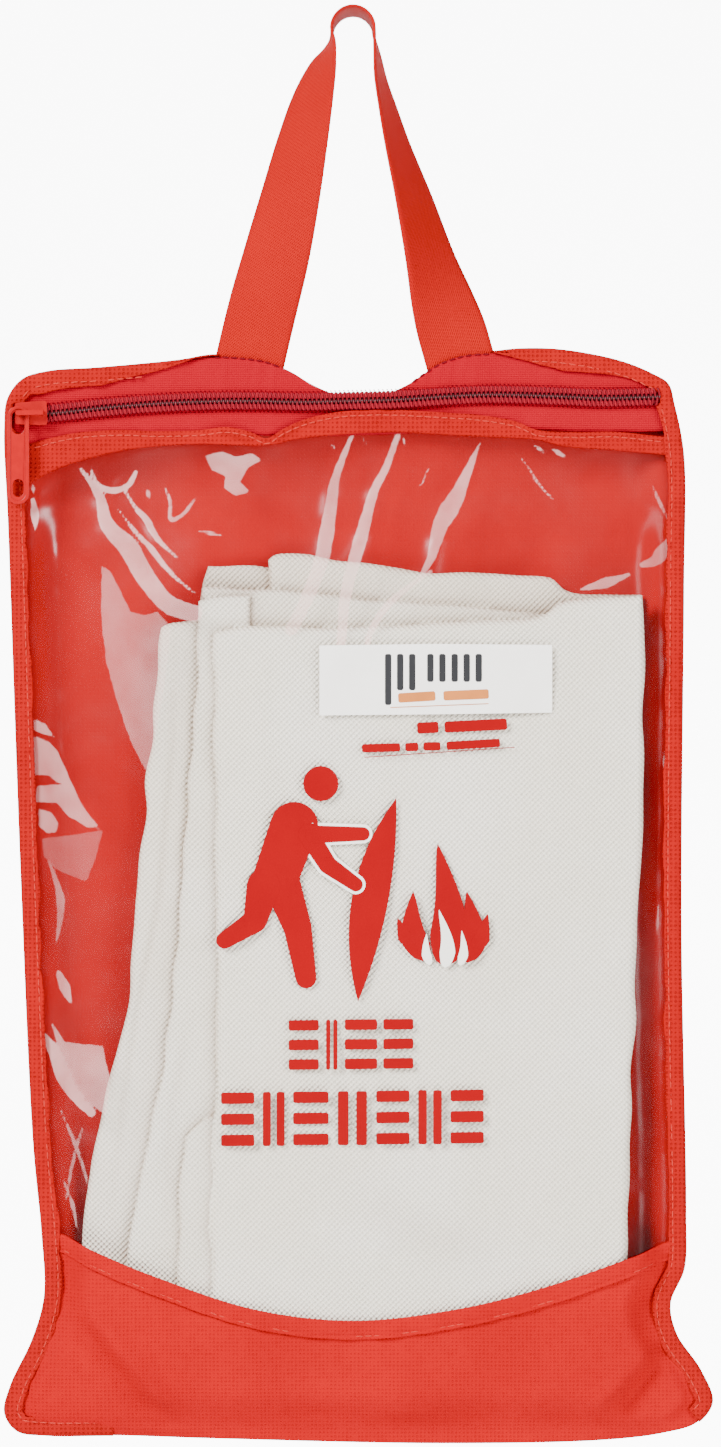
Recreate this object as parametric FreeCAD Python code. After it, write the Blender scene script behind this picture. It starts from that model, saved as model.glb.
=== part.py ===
"""Fire blanket in a hanging carry pouch.

A white woven glass-fibre blanket, folded to a flat packet, sits loose in a flat pouch. The pouch has a
non-woven back panel, a clear film window with a label, a non-woven panel across the bottom of the front,
a coil zip across the top, a binding tape round its edges, and a loop of webbing as its handle.

Frame, in millimetres: the origin is the centre of the webbing loop's top bend, where a hook or peg goes.
+Z is up, +X is to the right of someone facing the window, and +Y points from the window to the back panel.
"""

import FreeCAD, Part  # noqa: E401

import math
import os

from FreeCAD import Placement, Rotation, Vector

# Webbing handle
LOOP_RADIUS = 7.0  # inside of the top bend
LOOP_STRAIGHT = 4.0  # how far the strap runs straight down from the bend
WEB_WIDTH = 25.0
WEB_THICK = 1.4
FOLD_Z = -112.8  # the line that the handle folds about
FOLD_ROOM = 1.6  # from that line to the webbing above and below it
# A leg's stations: how far out, how high, and how far the strap's face has turned from the front
LEFT_LEG = [
    (7.7, -LOOP_STRAIGHT, 90.0),
    (8.1, -7.0, 86.0),
    (10.6, -12.5, 68.0),
    (14.6, -24.0, 54.0),
    (18.4, -40.0, 43.0),
    (22.8, -60.0, 31.0),
    (28.0, -82.0, 16.0),
    (32.2, -98.0, 5.0),
    (35.4, FOLD_Z + FOLD_ROOM, 0.0),
]
RIGHT_LEG = [
    (7.7, -LOOP_STRAIGHT, 90.0),
    (8.3, -9.0, 87.0),
    (10.2, -17.0, 79.0),
    (12.6, -27.0, 74.0),
    (16.0, -40.0, 69.0),
    (22.0, -60.0, 58.0),
    (28.0, -82.0, 45.0),
    (32.6, -98.0, 24.0),
    (36.6, FOLD_Z + FOLD_ROOM, 0.0),
]
SEWN_LENGTH = 12.6  # of each end, behind the zip tape

# The pouch's edge, anticlockwise from the left end of the left handle seam, as seen from the front
EDGE = [
    (-51.0, -116.0),
    (-62.0, -117.8),
    (-91.0, -120.6),
    (-110.0, -122.0),
    (-119.0, -124.8),
    (-124.4, -131.8),
    (-125.6, -143.0),
    (-124.2, -177.0),
    (-119.8, -300.0),
    (-115.2, -400.0),
    (-112.2, -432.0),
    (-111.3, -455.0),
    (-115.6, -470.5),
    (-123.4, -487.0),
    (-125.6, -497.0),
    (-121.0, -503.6),
    (-110.0, -505.3),
    (-86.0, -505.3),
    (-48.0, -506.5),
    (31.0, -508.2),
    (90.0, -507.0),
    (112.0, -504.4),
    (124.2, -500.6),
    (129.6, -493.0),
    (125.4, -481.6),
    (116.6, -468.5),
    (114.4, -457.5),
    (119.4, -445.0),
    (120.0, -425.0),
    (118.3, -320.0),
    (119.2, -200.0),
    (119.2, -152.0),
    (115.8, -134.0),
    (113.6, -126.6),
    (107.6, -122.8),
    (96.0, -118.2),
    (75.0, -114.2),
    (60.0, -113.8),
    (50.0, -114.8),
    (40.0, -115.6),
    (30.0, -119.0),
    (19.0, -126.2),
    (10.0, -129.8),
    (2.5, -130.3),
    (-5.0, -129.8),
    (-14.0, -126.2),
    (-22.0, -121.4),
    (-31.0, -117.8),
    (-41.0, -116.4),
]
EDGE_STATIONS = 240
LEFT_EDGE = EDGE[6:15]
RIGHT_EDGE = EDGE[23:32]

# How the panels stand apart
SEAM_HALF_GAP = 0.8  # half the space between front and back where they lie flat
BULGE = 8.0  # how far each panel stands out over the blanket
FRONT_RISE = (-172.0, -200.0)  # heights where the front begins to stand out, and where it is full
BACK_RISE = (-131.0, -163.0)
LOW_RISE = (-504.0, -488.0)
SIDE_RUN = 11.0
GRID_X = [-138.0 + 6.0 * i for i in range(47)]
GRID_Z = [-526.0 + 8.0 * i for i in range(55)]
FAR = 60.0  # beyond anything on the pouch, along Y

# Sheet goods: nearest and furthest face, along Y, from the front surface or the back one
FILM = (0.05, 0.35)
TAPE = (-0.45, -0.05)
LOWER = (-0.60, -0.10)
BAND = (-1.10, -0.60)
HEM = (-1.15, -0.65)
STICKER = (-0.10, 0.00)
BACK_PANEL = (0.05, 0.55)
BOTTOM_TAPE = (0.60, 1.10)
BINDING_THICK = 0.5
BINDING_FRONT = 1.8  # its outer face, in front of the front surface
BINDING_BACK = 1.1  # and behind the back surface
BINDING_WIDTH = 6.6
EDGE_ROOM = 0.8  # the panels stop this far inside the binding's fold
BOTTOM_WALL = 0.5
THREAD_WIDTH = 0.6
THREAD_THICK = 0.22
THREAD_LIFT = 0.03
THREAD_INSET = 5.4

# Runs across the front, left to right
BAND_TOP = [
    (-135.0, -156.0),
    (-102.0, -147.6),
    (-77.0, -144.4),
    (-46.0, -142.2),
    (-33.0, -143.2),
    (-12.0, -140.2),
    (10.0, -139.4),
    (40.0, -138.8),
    (65.0, -141.9),
    (90.0, -143.2),
    (135.0, -149.5),
]
BAND_LOW = [
    (-135.0, -170.0),
    (-105.5, -157.0),
    (-85.0, -151.2),
    (-55.0, -148.2),
    (-31.0, -148.2),
    (-7.0, -145.4),
    (16.0, -144.2),
    (46.0, -145.8),
    (66.0, -146.6),
    (92.5, -150.2),
    (135.0, -154.0),
]
HEM_TOP = [
    (-135.0, -420.0),
    (-105.8, -432.2),
    (-73.0, -446.4),
    (-37.0, -458.4),
    (-1.0, -462.9),
    (35.0, -459.2),
    (71.0, -450.2),
    (107.0, -437.6),
    (135.0, -427.0),
]
HEM_HEIGHT = 6.0
FILM_TUCK = 4.0  # how far the film runs under the band and the hem
HANDLE_ROWS = [
    [(-49.5, -118.2), (-41.0, -118.6), (-32.0, -119.8), (-25.0, -122.0)],
    [(28.0, -122.2), (33.0, -120.0), (40.0, -118.0), (49.0, -117.4)],
]

# Zip. Its own axes: u along the coil, w up across it, from the middle of the slider's body at rest
ZIP_START = Vector(-115.6, 0, -137.5)
ZIP_SLOPE = 1.55
ZIP_LENGTH = 224.0
COIL_START = -4.5
COIL_END_UPPER = 218.5  # the binding's corner crosses above the lower row only
COIL_END_LOWER = 222.0
COIL_GAP = 0.8  # half the lane between the rows, which the slider's post runs in
COIL_WIDTH = 2.2
COIL_DEPTH = 2.0
COIL_ROUND = 0.55
COIL_LIFT = 0.5  # from the front surface to the back of the coil
TAPE_REACH = 12.5
SLIDER_LENGTH = 11.5
SLIDER_WIDTH = 8.6
SLIDER_TAIL = 7.6
NOSE_LENGTH = 3.0  # how far back the wide end runs
PLATE_CORNER = 0.8
PLATE_THICK = 1.0
COIL_CLEAR = 0.35
POST_THICK = 0.8
POST_LENGTH = 3.4
CROWN_U = -4.5  # the leg that the puller hangs on
CROWN_END_U = 4.6
FOOT_LENGTH = 1.4  # where the crown comes down to the slider again
CROWN_RADIUS = 0.85
BAR_DEPTH = 1.5
NOTCH_ROOM = 0.6  # between the slider and the binding that is cut away round it
PULLER_TOP = 2.6
PULLER_LOW = -32.6
PULLER_WIDTH = 7.8
PULLER_THICK = 1.1
PULLER_CLEAR = 0.3
RIM_WIDTH = 1.1
RIM_RAISE = 0.35
EYE_RADIUS = 2.3
EYE_TOP = 0.95
EYE_LOW = -7.5
GRIP_RADIUS = 2.0
GRIP_TOP = -23.6
GRIP_LOW = -30.0

# Blanket, as folded: outlines seen from the front, with the nearest and furthest Y of each
PACKET = [
    (-50.6, -214.0),
    (103.6, -211.0),
    (101.6, -320.0),
    (98.2, -430.0),
    (91.0, -489.0),
    (-50.6, -489.0),
]
PACKET_DEPTH = (-7.9, 1.4)
BACK_FOLDS = [
    (-52.6, -192.6),
    (71.0, -196.6),
    (104.4, -203.0),
    (102.6, -330.0),
    (98.9, -430.0),
    (92.0, -490.0),
    (-63.0, -490.0),
    (-61.0, -330.0),
]
BACK_FOLDS_DEPTH = (0.6, 7.9)
SIDE_FOLDS = [
    (-69.0, -213.0),
    (-48.0, -205.0),
    (-48.0, -470.0),
    (-62.0, -474.0),
    (-94.0, -452.0),
    (-96.8, -434.0),
    (-90.6, -394.0),
    (-80.0, -340.0),
    (-75.0, -280.0),
]
SIDE_FOLDS_DEPTH = (-4.0, 4.4)
CORNER_ROUND = 4.6
STICKER_BOX = [(-12.8, -247.0), (70.2, -245.6), (70.8, -220.2), (-12.4, -221.8)]

TO_BACK = Vector(0, 1, 0)


def at(x, z, y=-FAR):
    return Vector(x, y, z)


def run_edge(places):
    """One smooth edge through a run of (x, z) places, or a straight one through two."""
    if len(places) == 2:
        return Part.makeLine(at(*places[0]), at(*places[1]))
    curve = Part.BSplineCurve()
    curve.interpolate([at(x, z) for x, z in places])
    return curve.toShape()


def region(low, top):
    """The flat face between two runs."""
    low_edge = run_edge(low)
    top_edge = run_edge(top)
    left = Part.makeLine(at(*low[0]), at(*top[0]))
    right = Part.makeLine(at(*low[-1]), at(*top[-1]))
    return Part.Face(Part.Wire([low_edge, right, top_edge, left]))


def polygon(places):
    corners = [at(x, z) for x, z in places]
    return Part.Face(Part.makePolygon([*corners, corners[0]]))


def edge_curve():
    curve = Part.BSplineCurve()
    curve.interpolate(Points=[at(x, z) for x, z in EDGE], PeriodicFlag=True)
    return curve


def inside_edge(distance):
    """The flat face of everything at least this far inside the pouch's edge."""
    curve = edge_curve()
    places = []
    for i in range(EDGE_STATIONS):
        where = curve.parameterAtDistance(curve.length() * i / EDGE_STATIONS, curve.FirstParameter)
        inward = curve.tangent(where)[0].cross(TO_BACK)
        places.append(curve.value(where) + inward * distance)
    moved = Part.BSplineCurve()
    moved.interpolate(Points=places, PeriodicFlag=True)
    return Part.Face(Part.Wire(moved.toShape()))


def x_on(run, z):
    """X where a run of places crosses a height."""
    for (ax, az), (bx, bz) in zip(run, run[1:]):
        if min(az, bz) <= z <= max(az, bz):
            return ax + (bx - ax) * (z - az) / (bz - az)
    return run[0][0] if abs(z - run[0][1]) < abs(z - run[-1][1]) else run[-1][0]


def ease(value, start, end):
    """0 at start and 1 at end, with a smooth rise between."""
    share = min(1.0, max(0.0, (value - start) / (end - start)))
    return math.sin(share * math.pi / 2) ** 2


def swell(x, z, rise):
    """How far a panel stands out from the middle plane."""
    room = min(x - x_on(LEFT_EDGE, z), x_on(RIGHT_EDGE, z) - x) - BINDING_WIDTH
    return SEAM_HALF_GAP + BULGE * ease(room, 0.0, SIDE_RUN) * ease(z, *rise) * ease(z, *LOW_RISE)


def panel_surface(side, rise):
    surface = Part.BSplineSurface()
    surface.interpolate([[Vector(x, side * swell(x, z, rise), z) for z in GRID_Z] for x in GRID_X])
    return surface.toShape()


FRONT = panel_surface(-1, FRONT_RISE)
BACK = panel_surface(1, BACK_RISE)
OUTER = inside_edge(0.0)
SHEET = inside_edge(EDGE_ROOM)
HOLLOW = inside_edge(BINDING_THICK)
PAST_BINDING = inside_edge(BINDING_WIDTH)
CLEAR_OF_BINDING = inside_edge(BINDING_WIDTH + 0.3)


def column(face):
    """Everything in line with a flat face, from front to back."""
    return face.extrude(TO_BACK * (2 * FAR))


def sole(shape):
    """The shape as one solid, or as a compound where it has several."""
    solids = sorted(shape.Solids, key=lambda solid: -solid.Volume)
    return solids[0] if len(solids) == 1 else Part.makeCompound(solids)


def layer(surface, span, face):
    """A sheet that follows a surface between two distances along Y, cut to a flat face."""
    near, far = span
    sheet = surface.translated(TO_BACK * near).extrude(TO_BACK * (far - near))
    return sole(sheet.common(column(face)))


def between(front_out, back_out, face):
    """Everything from front_out before the front surface to back_out behind the back one."""
    behind = FRONT.translated(TO_BACK * -front_out).extrude(TO_BACK * FAR)
    ahead = BACK.translated(TO_BACK * back_out).extrude(TO_BACK * -FAR)
    return column(face).common(behind).common(ahead)


def lowered(run, drop):
    return [(x, z - drop) for x, z in run]


def binding(stretch):
    """Tape folded over a stretch of the pouch's edge: two legs joined by the fold."""
    ring = OUTER.cut(PAST_BINDING).common(stretch)
    hollow = between(BINDING_FRONT - BINDING_THICK, BINDING_BACK - BINDING_THICK, HOLLOW)
    return between(BINDING_FRONT, BINDING_BACK, ring).cut(hollow)


def strand(surface, side, out, face):
    """Stitching that lies on a sheet's outer face, as one strand."""
    near = side * (out + THREAD_LIFT)
    return layer(surface, sorted((near, near + side * THREAD_THICK)), face)


def stitch_line(stretch):
    """The flat face of a row of stitching beside a stretch of the edge."""
    return inside_edge(THREAD_INSET).cut(inside_edge(THREAD_INSET + THREAD_WIDTH)).common(stretch)


def edge_strands(stretch):
    """The stitching along a stretch of binding, seen on the front and on the back."""
    row = stitch_line(stretch)
    front = strand(FRONT, -1, BINDING_FRONT, row)
    back = strand(BACK, 1, BINDING_BACK, row)
    return Part.makeCompound([front, back])


def row_strand(run, out, within):
    """Stitching along a run of places on the front, cut to a flat face."""
    half = THREAD_WIDTH / 2
    return strand(FRONT, -1, out, region(lowered(run, half), lowered(run, -half)).common(within))


def strap_section(out, z, twist, side, ahead):
    """The strap's outline at a station; twist 0 shows its face to the front, and 90 its edge."""
    turn = math.radians(twist)
    across = ahead.cross(TO_BACK)
    across.normalize()
    if across.x * side < 0:
        across = across * -1
    wide = across * math.cos(turn) + TO_BACK * math.sin(turn)
    thick = across * math.sin(turn) - TO_BACK * math.cos(turn)
    centre = Vector(side * out, 0, z)
    half_wide = wide * (WEB_WIDTH / 2)
    half_thick = thick * (WEB_THICK / 2)
    corners = [
        centre + half_wide + half_thick,
        centre - half_wide + half_thick,
        centre - half_wide - half_thick,
        centre + half_wide - half_thick,
    ]
    return Part.makePolygon([*corners, corners[0]])


def handle_leg(stations, side):
    sections = []
    last = len(stations) - 1
    for i, (out, z, twist) in enumerate(stations):
        before = stations[max(i - 1, 0)]
        after = stations[min(i + 1, last)]
        ahead = Vector(side * (after[0] - before[0]), 0, after[1] - before[1])
        if i in (0, last):
            ahead = Vector(0, 0, -1)
        sections.append(strap_section(out, z, twist, side, ahead))
    return Part.makeLoft(sections, True, False)


def handle_webbing():
    outer = Part.makeCylinder(LOOP_RADIUS + WEB_THICK, WEB_WIDTH, Vector(0, -WEB_WIDTH / 2, 0), TO_BACK)
    inner = Part.makeCylinder(LOOP_RADIUS, WEB_WIDTH, Vector(0, -WEB_WIDTH / 2, 0), TO_BACK)
    above = Part.makeBox(FAR, FAR, FAR, Vector(-FAR / 2, -FAR / 2, 0))
    pieces = [handle_leg(LEFT_LEG, -1), handle_leg(RIGHT_LEG, 1)]
    for x in (-LOOP_RADIUS - WEB_THICK, LOOP_RADIUS):
        corner = Vector(x, -WEB_WIDTH / 2, -LOOP_STRAIGHT)
        pieces.append(Part.makeBox(WEB_THICK, WEB_WIDTH, LOOP_STRAIGHT, corner))
    return sole(outer.cut(inner).common(above).fuse(pieces).removeSplitter())


def handle_end(stations, side):
    """The sewn end of a leg, which lies flat between the zip tape and the back panel."""
    out, top, _ = stations[-1]
    above = stations[-2]
    lean = (out - above[0]) / (above[1] - top)
    z_top = FOLD_Z - FOLD_ROOM
    z_low = z_top - SEWN_LENGTH
    middle_top = side * (out + lean * 2 * FOLD_ROOM)
    middle_low = middle_top + side * lean * SEWN_LENGTH
    half = WEB_WIDTH / 2
    corners = [
        (middle_top - half, z_top),
        (middle_low - half, z_low),
        (middle_low + half, z_low),
        (middle_top + half, z_top),
    ]
    near = Vector(0, FAR - WEB_THICK / 2, 0)
    return polygon(corners).translated(near).extrude(TO_BACK * WEB_THICK)


ZIP_PLACE = Placement(ZIP_START, Rotation(TO_BACK, -ZIP_SLOPE))


def on_zip(shape):
    """A shape drawn in the zip's own axes, put in place."""
    shape.Placement = ZIP_PLACE.multiply(shape.Placement)
    return shape


def zip_box(u0, u1, y0, y1, w0, w1):
    return Part.makeBox(u1 - u0, y1 - y0, w1 - w0, Vector(u0, y0, w0))


def beside_zip(low, high):
    """A flat face along the zip between two distances from its centre line, past both ends."""
    corners = [(-40, low), (ZIP_LENGTH + 60, low), (ZIP_LENGTH + 60, high), (-40, high)]
    return on_zip(polygon(corners))


def zip_tape(low, high):
    return layer(FRONT, TAPE, SHEET.common(beside_zip(low, high)))


def zip_coil(side, end):
    """One row of the coil, as far along the zip as its end."""
    inner, outer = sorted((side * COIL_GAP, side * (COIL_GAP + COIL_WIDTH)))
    bar = zip_box(COIL_START, end, COIL_FRONT, COIL_FRONT + COIL_DEPTH, inner, outer)
    long_edges = [e for e in bar.Edges if abs(e.Length - (end - COIL_START)) < 0.01]
    return on_zip(bar.makeFillet(COIL_ROUND, long_edges))


COIL_FRONT = -SEAM_HALF_GAP - COIL_LIFT - COIL_DEPTH
PLATE_BACK = COIL_FRONT - COIL_CLEAR
PLATE_FRONT = PLATE_BACK - PLATE_THICK
TAPE_FRONT = -SEAM_HALF_GAP + TAPE[0]
REAR_FRONT = -SEAM_HALF_GAP + TAPE[1] + COIL_CLEAR
REAR_BACK = REAR_FRONT + PLATE_THICK
PULLER_BACK = PLATE_FRONT - PULLER_CLEAR
PULLER_FRONT = PULLER_BACK - PULLER_THICK
BAR_BACK = PULLER_FRONT - PULLER_CLEAR - RIM_RAISE
BAR_FRONT = BAR_BACK - BAR_DEPTH


def plate(near, far):
    """One of the slider's plates: wide at the nose, where the rows come apart, and narrower at the tail."""
    half = SLIDER_LENGTH / 2
    nose = SLIDER_WIDTH / 2
    tail = SLIDER_TAIL / 2
    corners = [
        (-half, -tail),
        (half - NOSE_LENGTH, -nose),
        (half, -nose),
        (half, nose),
        (half - NOSE_LENGTH, nose),
        (-half, tail),
    ]
    face = polygon(corners).translated(Vector(0, FAR + near, 0))
    solid = face.extrude(TO_BACK * (far - near))
    upright = [e for e in solid.Edges if abs(e.tangentAt(e.FirstParameter).y) > 0.99]
    return solid.makeFillet(PLATE_CORNER, upright)


def zip_slider():
    half = SLIDER_LENGTH / 2
    side_in = COIL_GAP + COIL_WIDTH + COIL_CLEAR
    body = plate(PLATE_FRONT, PLATE_BACK).fuse(plate(REAR_FRONT, REAR_BACK))
    for side in (-1, 1):
        inner, outer = sorted((side * side_in, side * SLIDER_WIDTH / 2))
        flange_low = TAPE_FRONT - COIL_CLEAR
        flange = zip_box(-half + 1.0, half - 0.8, PLATE_FRONT + 0.2, flange_low, inner, outer)
        body = body.fuse(flange.common(plate(PLATE_FRONT, flange_low)))
    post_from = half - 0.6 - POST_LENGTH
    post_to = post_from + POST_LENGTH
    post_half = POST_THICK / 2
    post = zip_box(post_from, post_to, PLATE_BACK - 0.5, REAR_FRONT + 0.5, -post_half, post_half)
    leg_top = Vector(CROWN_U, BAR_FRONT, 0)
    leg = Part.makeCylinder(CROWN_RADIUS, PLATE_BACK - BAR_FRONT - 0.5, leg_top, TO_BACK)
    bar = zip_box(CROWN_U, CROWN_END_U, BAR_FRONT, BAR_BACK, -CROWN_RADIUS, CROWN_RADIUS)
    foot_from = CROWN_END_U - FOOT_LENGTH
    foot = zip_box(foot_from, CROWN_END_U, BAR_FRONT, PLATE_BACK - 0.4, -CROWN_RADIUS, CROWN_RADIUS)
    return on_zip(body.fuse([post, leg, bar, foot]).removeSplitter())


def slot_solid(u, top, low, radius, near, far):
    """A round-ended upright block: top and low are its extreme heights."""
    high = top - radius
    deep = low + radius
    depth = far - near
    upper = Part.makeCylinder(radius, depth, Vector(u, near, high), TO_BACK)
    lower = Part.makeCylinder(radius, depth, Vector(u, near, deep), TO_BACK)
    middle = zip_box(u - radius, u + radius, near, far, deep, high)
    return upper.fuse([lower, middle]).removeSplitter()


def zip_puller():
    half = PULLER_WIDTH / 2
    body = slot_solid(CROWN_U, PULLER_TOP, PULLER_LOW, half, PULLER_BACK - PULLER_THICK, PULLER_BACK)
    raised = slot_solid(CROWN_U, PULLER_TOP, PULLER_LOW, half, PULLER_FRONT - RIM_RAISE, PULLER_FRONT + 0.2)
    field_half = half - RIM_WIDTH
    field = slot_solid(
        CROWN_U,
        PULLER_TOP - RIM_WIDTH,
        PULLER_LOW + RIM_WIDTH,
        field_half,
        PULLER_FRONT - RIM_RAISE - 1,
        PULLER_FRONT + 0.3,
    )
    rim = raised.cut(field)
    holes = [
        slot_solid(CROWN_U, EYE_TOP, EYE_LOW, EYE_RADIUS, -FAR, FAR),
        slot_solid(CROWN_U, GRIP_TOP, GRIP_LOW, GRIP_RADIUS, -FAR, FAR),
    ]
    drawn = body.fuse(rim).cut(Part.makeCompound(holes)).removeSplitter()
    drawn.rotate(Vector(CROWN_U, 0, 0), TO_BACK, ZIP_SLOPE)
    return on_zip(drawn)


def lower_panel():
    """The lower front panel, turned under at the bottom to meet the back panel."""
    below_hem = region([(-135.0, -515.0), (135.0, -515.0)], HEM_TOP)
    front = layer(FRONT, LOWER, SHEET.common(below_hem))
    turn = SHEET.cut(inside_edge(EDGE_ROOM + BOTTOM_WALL)).common(BOTTOM_STRETCH)
    under = between(-LOWER[1] + 0.2, 0.0, turn)
    return sole(front.fuse(under))


def window_film():
    low = lowered(HEM_TOP, FILM_TUCK)
    top = lowered(BAND_LOW, -FILM_TUCK)
    return layer(FRONT, FILM, SHEET.common(region(low, top)))


def binding_left():
    notch_half = SLIDER_WIDTH / 2 + NOTCH_ROOM
    notch = zip_box(-SLIDER_LENGTH / 2 - NOTCH_ROOM, 30, -FAR, -SEAM_HALF_GAP, -notch_half, notch_half)
    return sole(binding(LEFT_STRETCH).cut(on_zip(notch)))


def packet(corners, depth):
    """A folded stack with rounded folds."""
    near, far = depth
    solid = polygon(corners).translated(Vector(0, FAR + near, 0)).extrude(TO_BACK * (far - near))
    upright = [e for e in solid.Edges if abs(e.tangentAt(e.FirstParameter).y) > 0.99]
    solid = solid.makeFillet(CORNER_ROUND, upright)
    rims = [e for e in solid.Edges if e.BoundBox.YLength < 0.01]
    return solid.makeFillet((far - near) / 2 - 0.4, rims)


def blanket():
    parts = [
        packet(BACK_FOLDS, BACK_FOLDS_DEPTH),
        packet(SIDE_FOLDS, SIDE_FOLDS_DEPTH),
        packet(PACKET, PACKET_DEPTH),
    ]
    return sole(parts[0].fuse(parts[1:]))


# The binding's lengths, which meet at the upper corners and part at the lower ones
LEFT_STRETCH = polygon(
    [
        (-86.0, -515.0),
        (-86.0, -495.0),
        (-100.0, -488.0),
        (-100.0, -133.0),
        (-124.0, -119.0),
        (-140.0, -119.0),
        (-140.0, -515.0),
    ]
)
RIGHT_STRETCH = polygon(
    [
        (118.0, -515.0),
        (118.0, -505.0),
        (104.0, -480.0),
        (104.0, -133.0),
        (118.0, -121.0),
        (140.0, -121.0),
        (140.0, -515.0),
    ]
)
TOP_LEFT_STRETCH = polygon(
    [(-123.6, -119.0), (-99.6, -133.0), (-51.6, -133.0), (-51.6, -110.0), (-123.6, -110.0)]
)
TOP_RIGHT_STRETCH = polygon(
    [(117.6, -121.0), (103.6, -133.0), (51.6, -133.0), (51.6, -110.0), (117.6, -110.0)]
)
BOTTOM_STRETCH = polygon([(-85.4, -515.0), (-85.4, -495.0), (110.0, -495.0), (116.0, -515.0)])


def parts():
    """Every piece, by the name of its file."""
    bottom_tape = SHEET.cut(PAST_BINDING).common(BOTTOM_STRETCH)
    hem = region(lowered(HEM_TOP, HEM_HEIGHT), lowered(HEM_TOP, 0.3))
    hem_row = lowered(HEM_TOP, HEM_HEIGHT - 1.0)
    band_row = lowered(BAND_TOP, 1.8)
    notch = beside_zip(-SLIDER_WIDTH / 2 - NOTCH_ROOM - 0.5, SLIDER_WIDTH / 2 + NOTCH_ROOM + 0.5)
    return {
        "handle_webbing": handle_webbing(),
        "handle_end_left": handle_end(LEFT_LEG, -1),
        "handle_end_right": handle_end(RIGHT_LEG, 1),
        "back_panel": layer(BACK, BACK_PANEL, SHEET),
        "window_film": window_film(),
        "lower_panel": lower_panel(),
        "lower_hem": layer(FRONT, HEM, PAST_BINDING.common(hem)),
        "window_band": layer(FRONT, BAND, SHEET.common(region(BAND_LOW, BAND_TOP))),
        "zip_tape_upper": zip_tape(COIL_GAP, 60.0),
        "zip_tape_lower": zip_tape(-TAPE_REACH, -COIL_GAP),
        "zip_coil_upper": zip_coil(1, COIL_END_UPPER),
        "zip_coil_lower": zip_coil(-1, COIL_END_LOWER),
        "zip_slider": zip_slider(),
        "zip_puller": zip_puller(),
        "binding_left": binding_left(),
        "binding_right": sole(binding(RIGHT_STRETCH)),
        "binding_top_left": sole(binding(TOP_LEFT_STRETCH)),
        "binding_top_right": sole(binding(TOP_RIGHT_STRETCH)),
        "binding_bottom": layer(BACK, BOTTOM_TAPE, bottom_tape),
        "stitching_left": edge_strands(LEFT_STRETCH.cut(notch)),
        "stitching_right": edge_strands(RIGHT_STRETCH),
        "stitching_top_left": edge_strands(TOP_LEFT_STRETCH),
        "stitching_top_right": edge_strands(TOP_RIGHT_STRETCH),
        "stitching_bottom": strand(BACK, 1, BOTTOM_TAPE[1], stitch_line(BOTTOM_STRETCH)),
        "stitching_hem": row_strand(hem_row, -HEM[0], CLEAR_OF_BINDING),
        "stitching_band": row_strand(band_row, -BAND[0], CLEAR_OF_BINDING),
        "stitching_handle_left": row_strand(HANDLE_ROWS[0], -TAPE[0], SHEET),
        "stitching_handle_right": row_strand(HANDLE_ROWS[1], -TAPE[0], SHEET),
        "blanket": blanket(),
        "sticker": layer(FRONT, STICKER, polygon(STICKER_BOX)),
    }


os.makedirs("parts", exist_ok=True)
for name, shape in parts().items():
    shape.exportStep("parts/" + name + ".step")
    print(name, len(shape.Solids), round(shape.Volume, 1), shape.isValid())
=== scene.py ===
import math

import bmesh
import bpy
import numpy as np
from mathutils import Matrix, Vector


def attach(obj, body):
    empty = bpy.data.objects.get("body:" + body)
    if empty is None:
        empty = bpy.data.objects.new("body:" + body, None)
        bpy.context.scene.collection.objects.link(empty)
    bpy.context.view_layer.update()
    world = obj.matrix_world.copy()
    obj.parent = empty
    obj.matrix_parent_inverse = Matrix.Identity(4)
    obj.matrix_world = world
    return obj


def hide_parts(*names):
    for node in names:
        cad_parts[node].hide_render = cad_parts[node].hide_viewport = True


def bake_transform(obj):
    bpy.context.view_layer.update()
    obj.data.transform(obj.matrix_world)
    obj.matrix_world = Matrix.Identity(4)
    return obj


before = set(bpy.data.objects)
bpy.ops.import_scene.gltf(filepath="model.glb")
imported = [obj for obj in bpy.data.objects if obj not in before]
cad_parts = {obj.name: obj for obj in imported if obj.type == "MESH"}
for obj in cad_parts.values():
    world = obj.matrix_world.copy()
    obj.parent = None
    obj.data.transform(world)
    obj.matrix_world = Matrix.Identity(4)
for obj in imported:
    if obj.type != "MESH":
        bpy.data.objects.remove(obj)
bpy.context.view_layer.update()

MM = 0.001
rng = np.random.default_rng(7)

# ------------------------------------ the pouch's outlines as (x, z) in mm, read from the photograph
EDGE = [(-51.0, -116.0), (-62.0, -117.8), (-91.0, -120.6), (-110.0, -122.0), (-119.0, -124.8),
        (-124.4, -131.8), (-125.6, -143.0), (-124.2, -177.0), (-119.8, -300.0), (-115.2, -400.0),
        (-112.2, -432.0), (-111.3, -455.0), (-115.6, -470.5), (-123.4, -487.0), (-125.6, -497.0),
        (-121.0, -503.6), (-110.0, -505.3), (-86.0, -505.3), (-48.0, -506.5), (31.0, -508.2),
        (90.0, -507.0), (112.0, -504.4), (124.2, -500.6), (129.6, -493.0), (125.4, -481.6),
        (116.6, -468.5), (114.4, -457.5), (119.4, -445.0), (120.0, -425.0), (118.3, -320.0),
        (119.2, -200.0), (119.2, -152.0), (115.8, -134.0), (113.6, -126.6), (107.6, -122.8),
        (96.0, -118.2), (75.0, -114.2), (60.0, -113.8), (50.0, -114.8), (40.0, -115.6), (30.0, -119.0),
        (19.0, -126.2), (10.0, -129.8), (2.5, -130.3), (-5.0, -129.8), (-14.0, -126.2), (-22.0, -121.4),
        (-31.0, -117.8), (-41.0, -116.4)]
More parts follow.
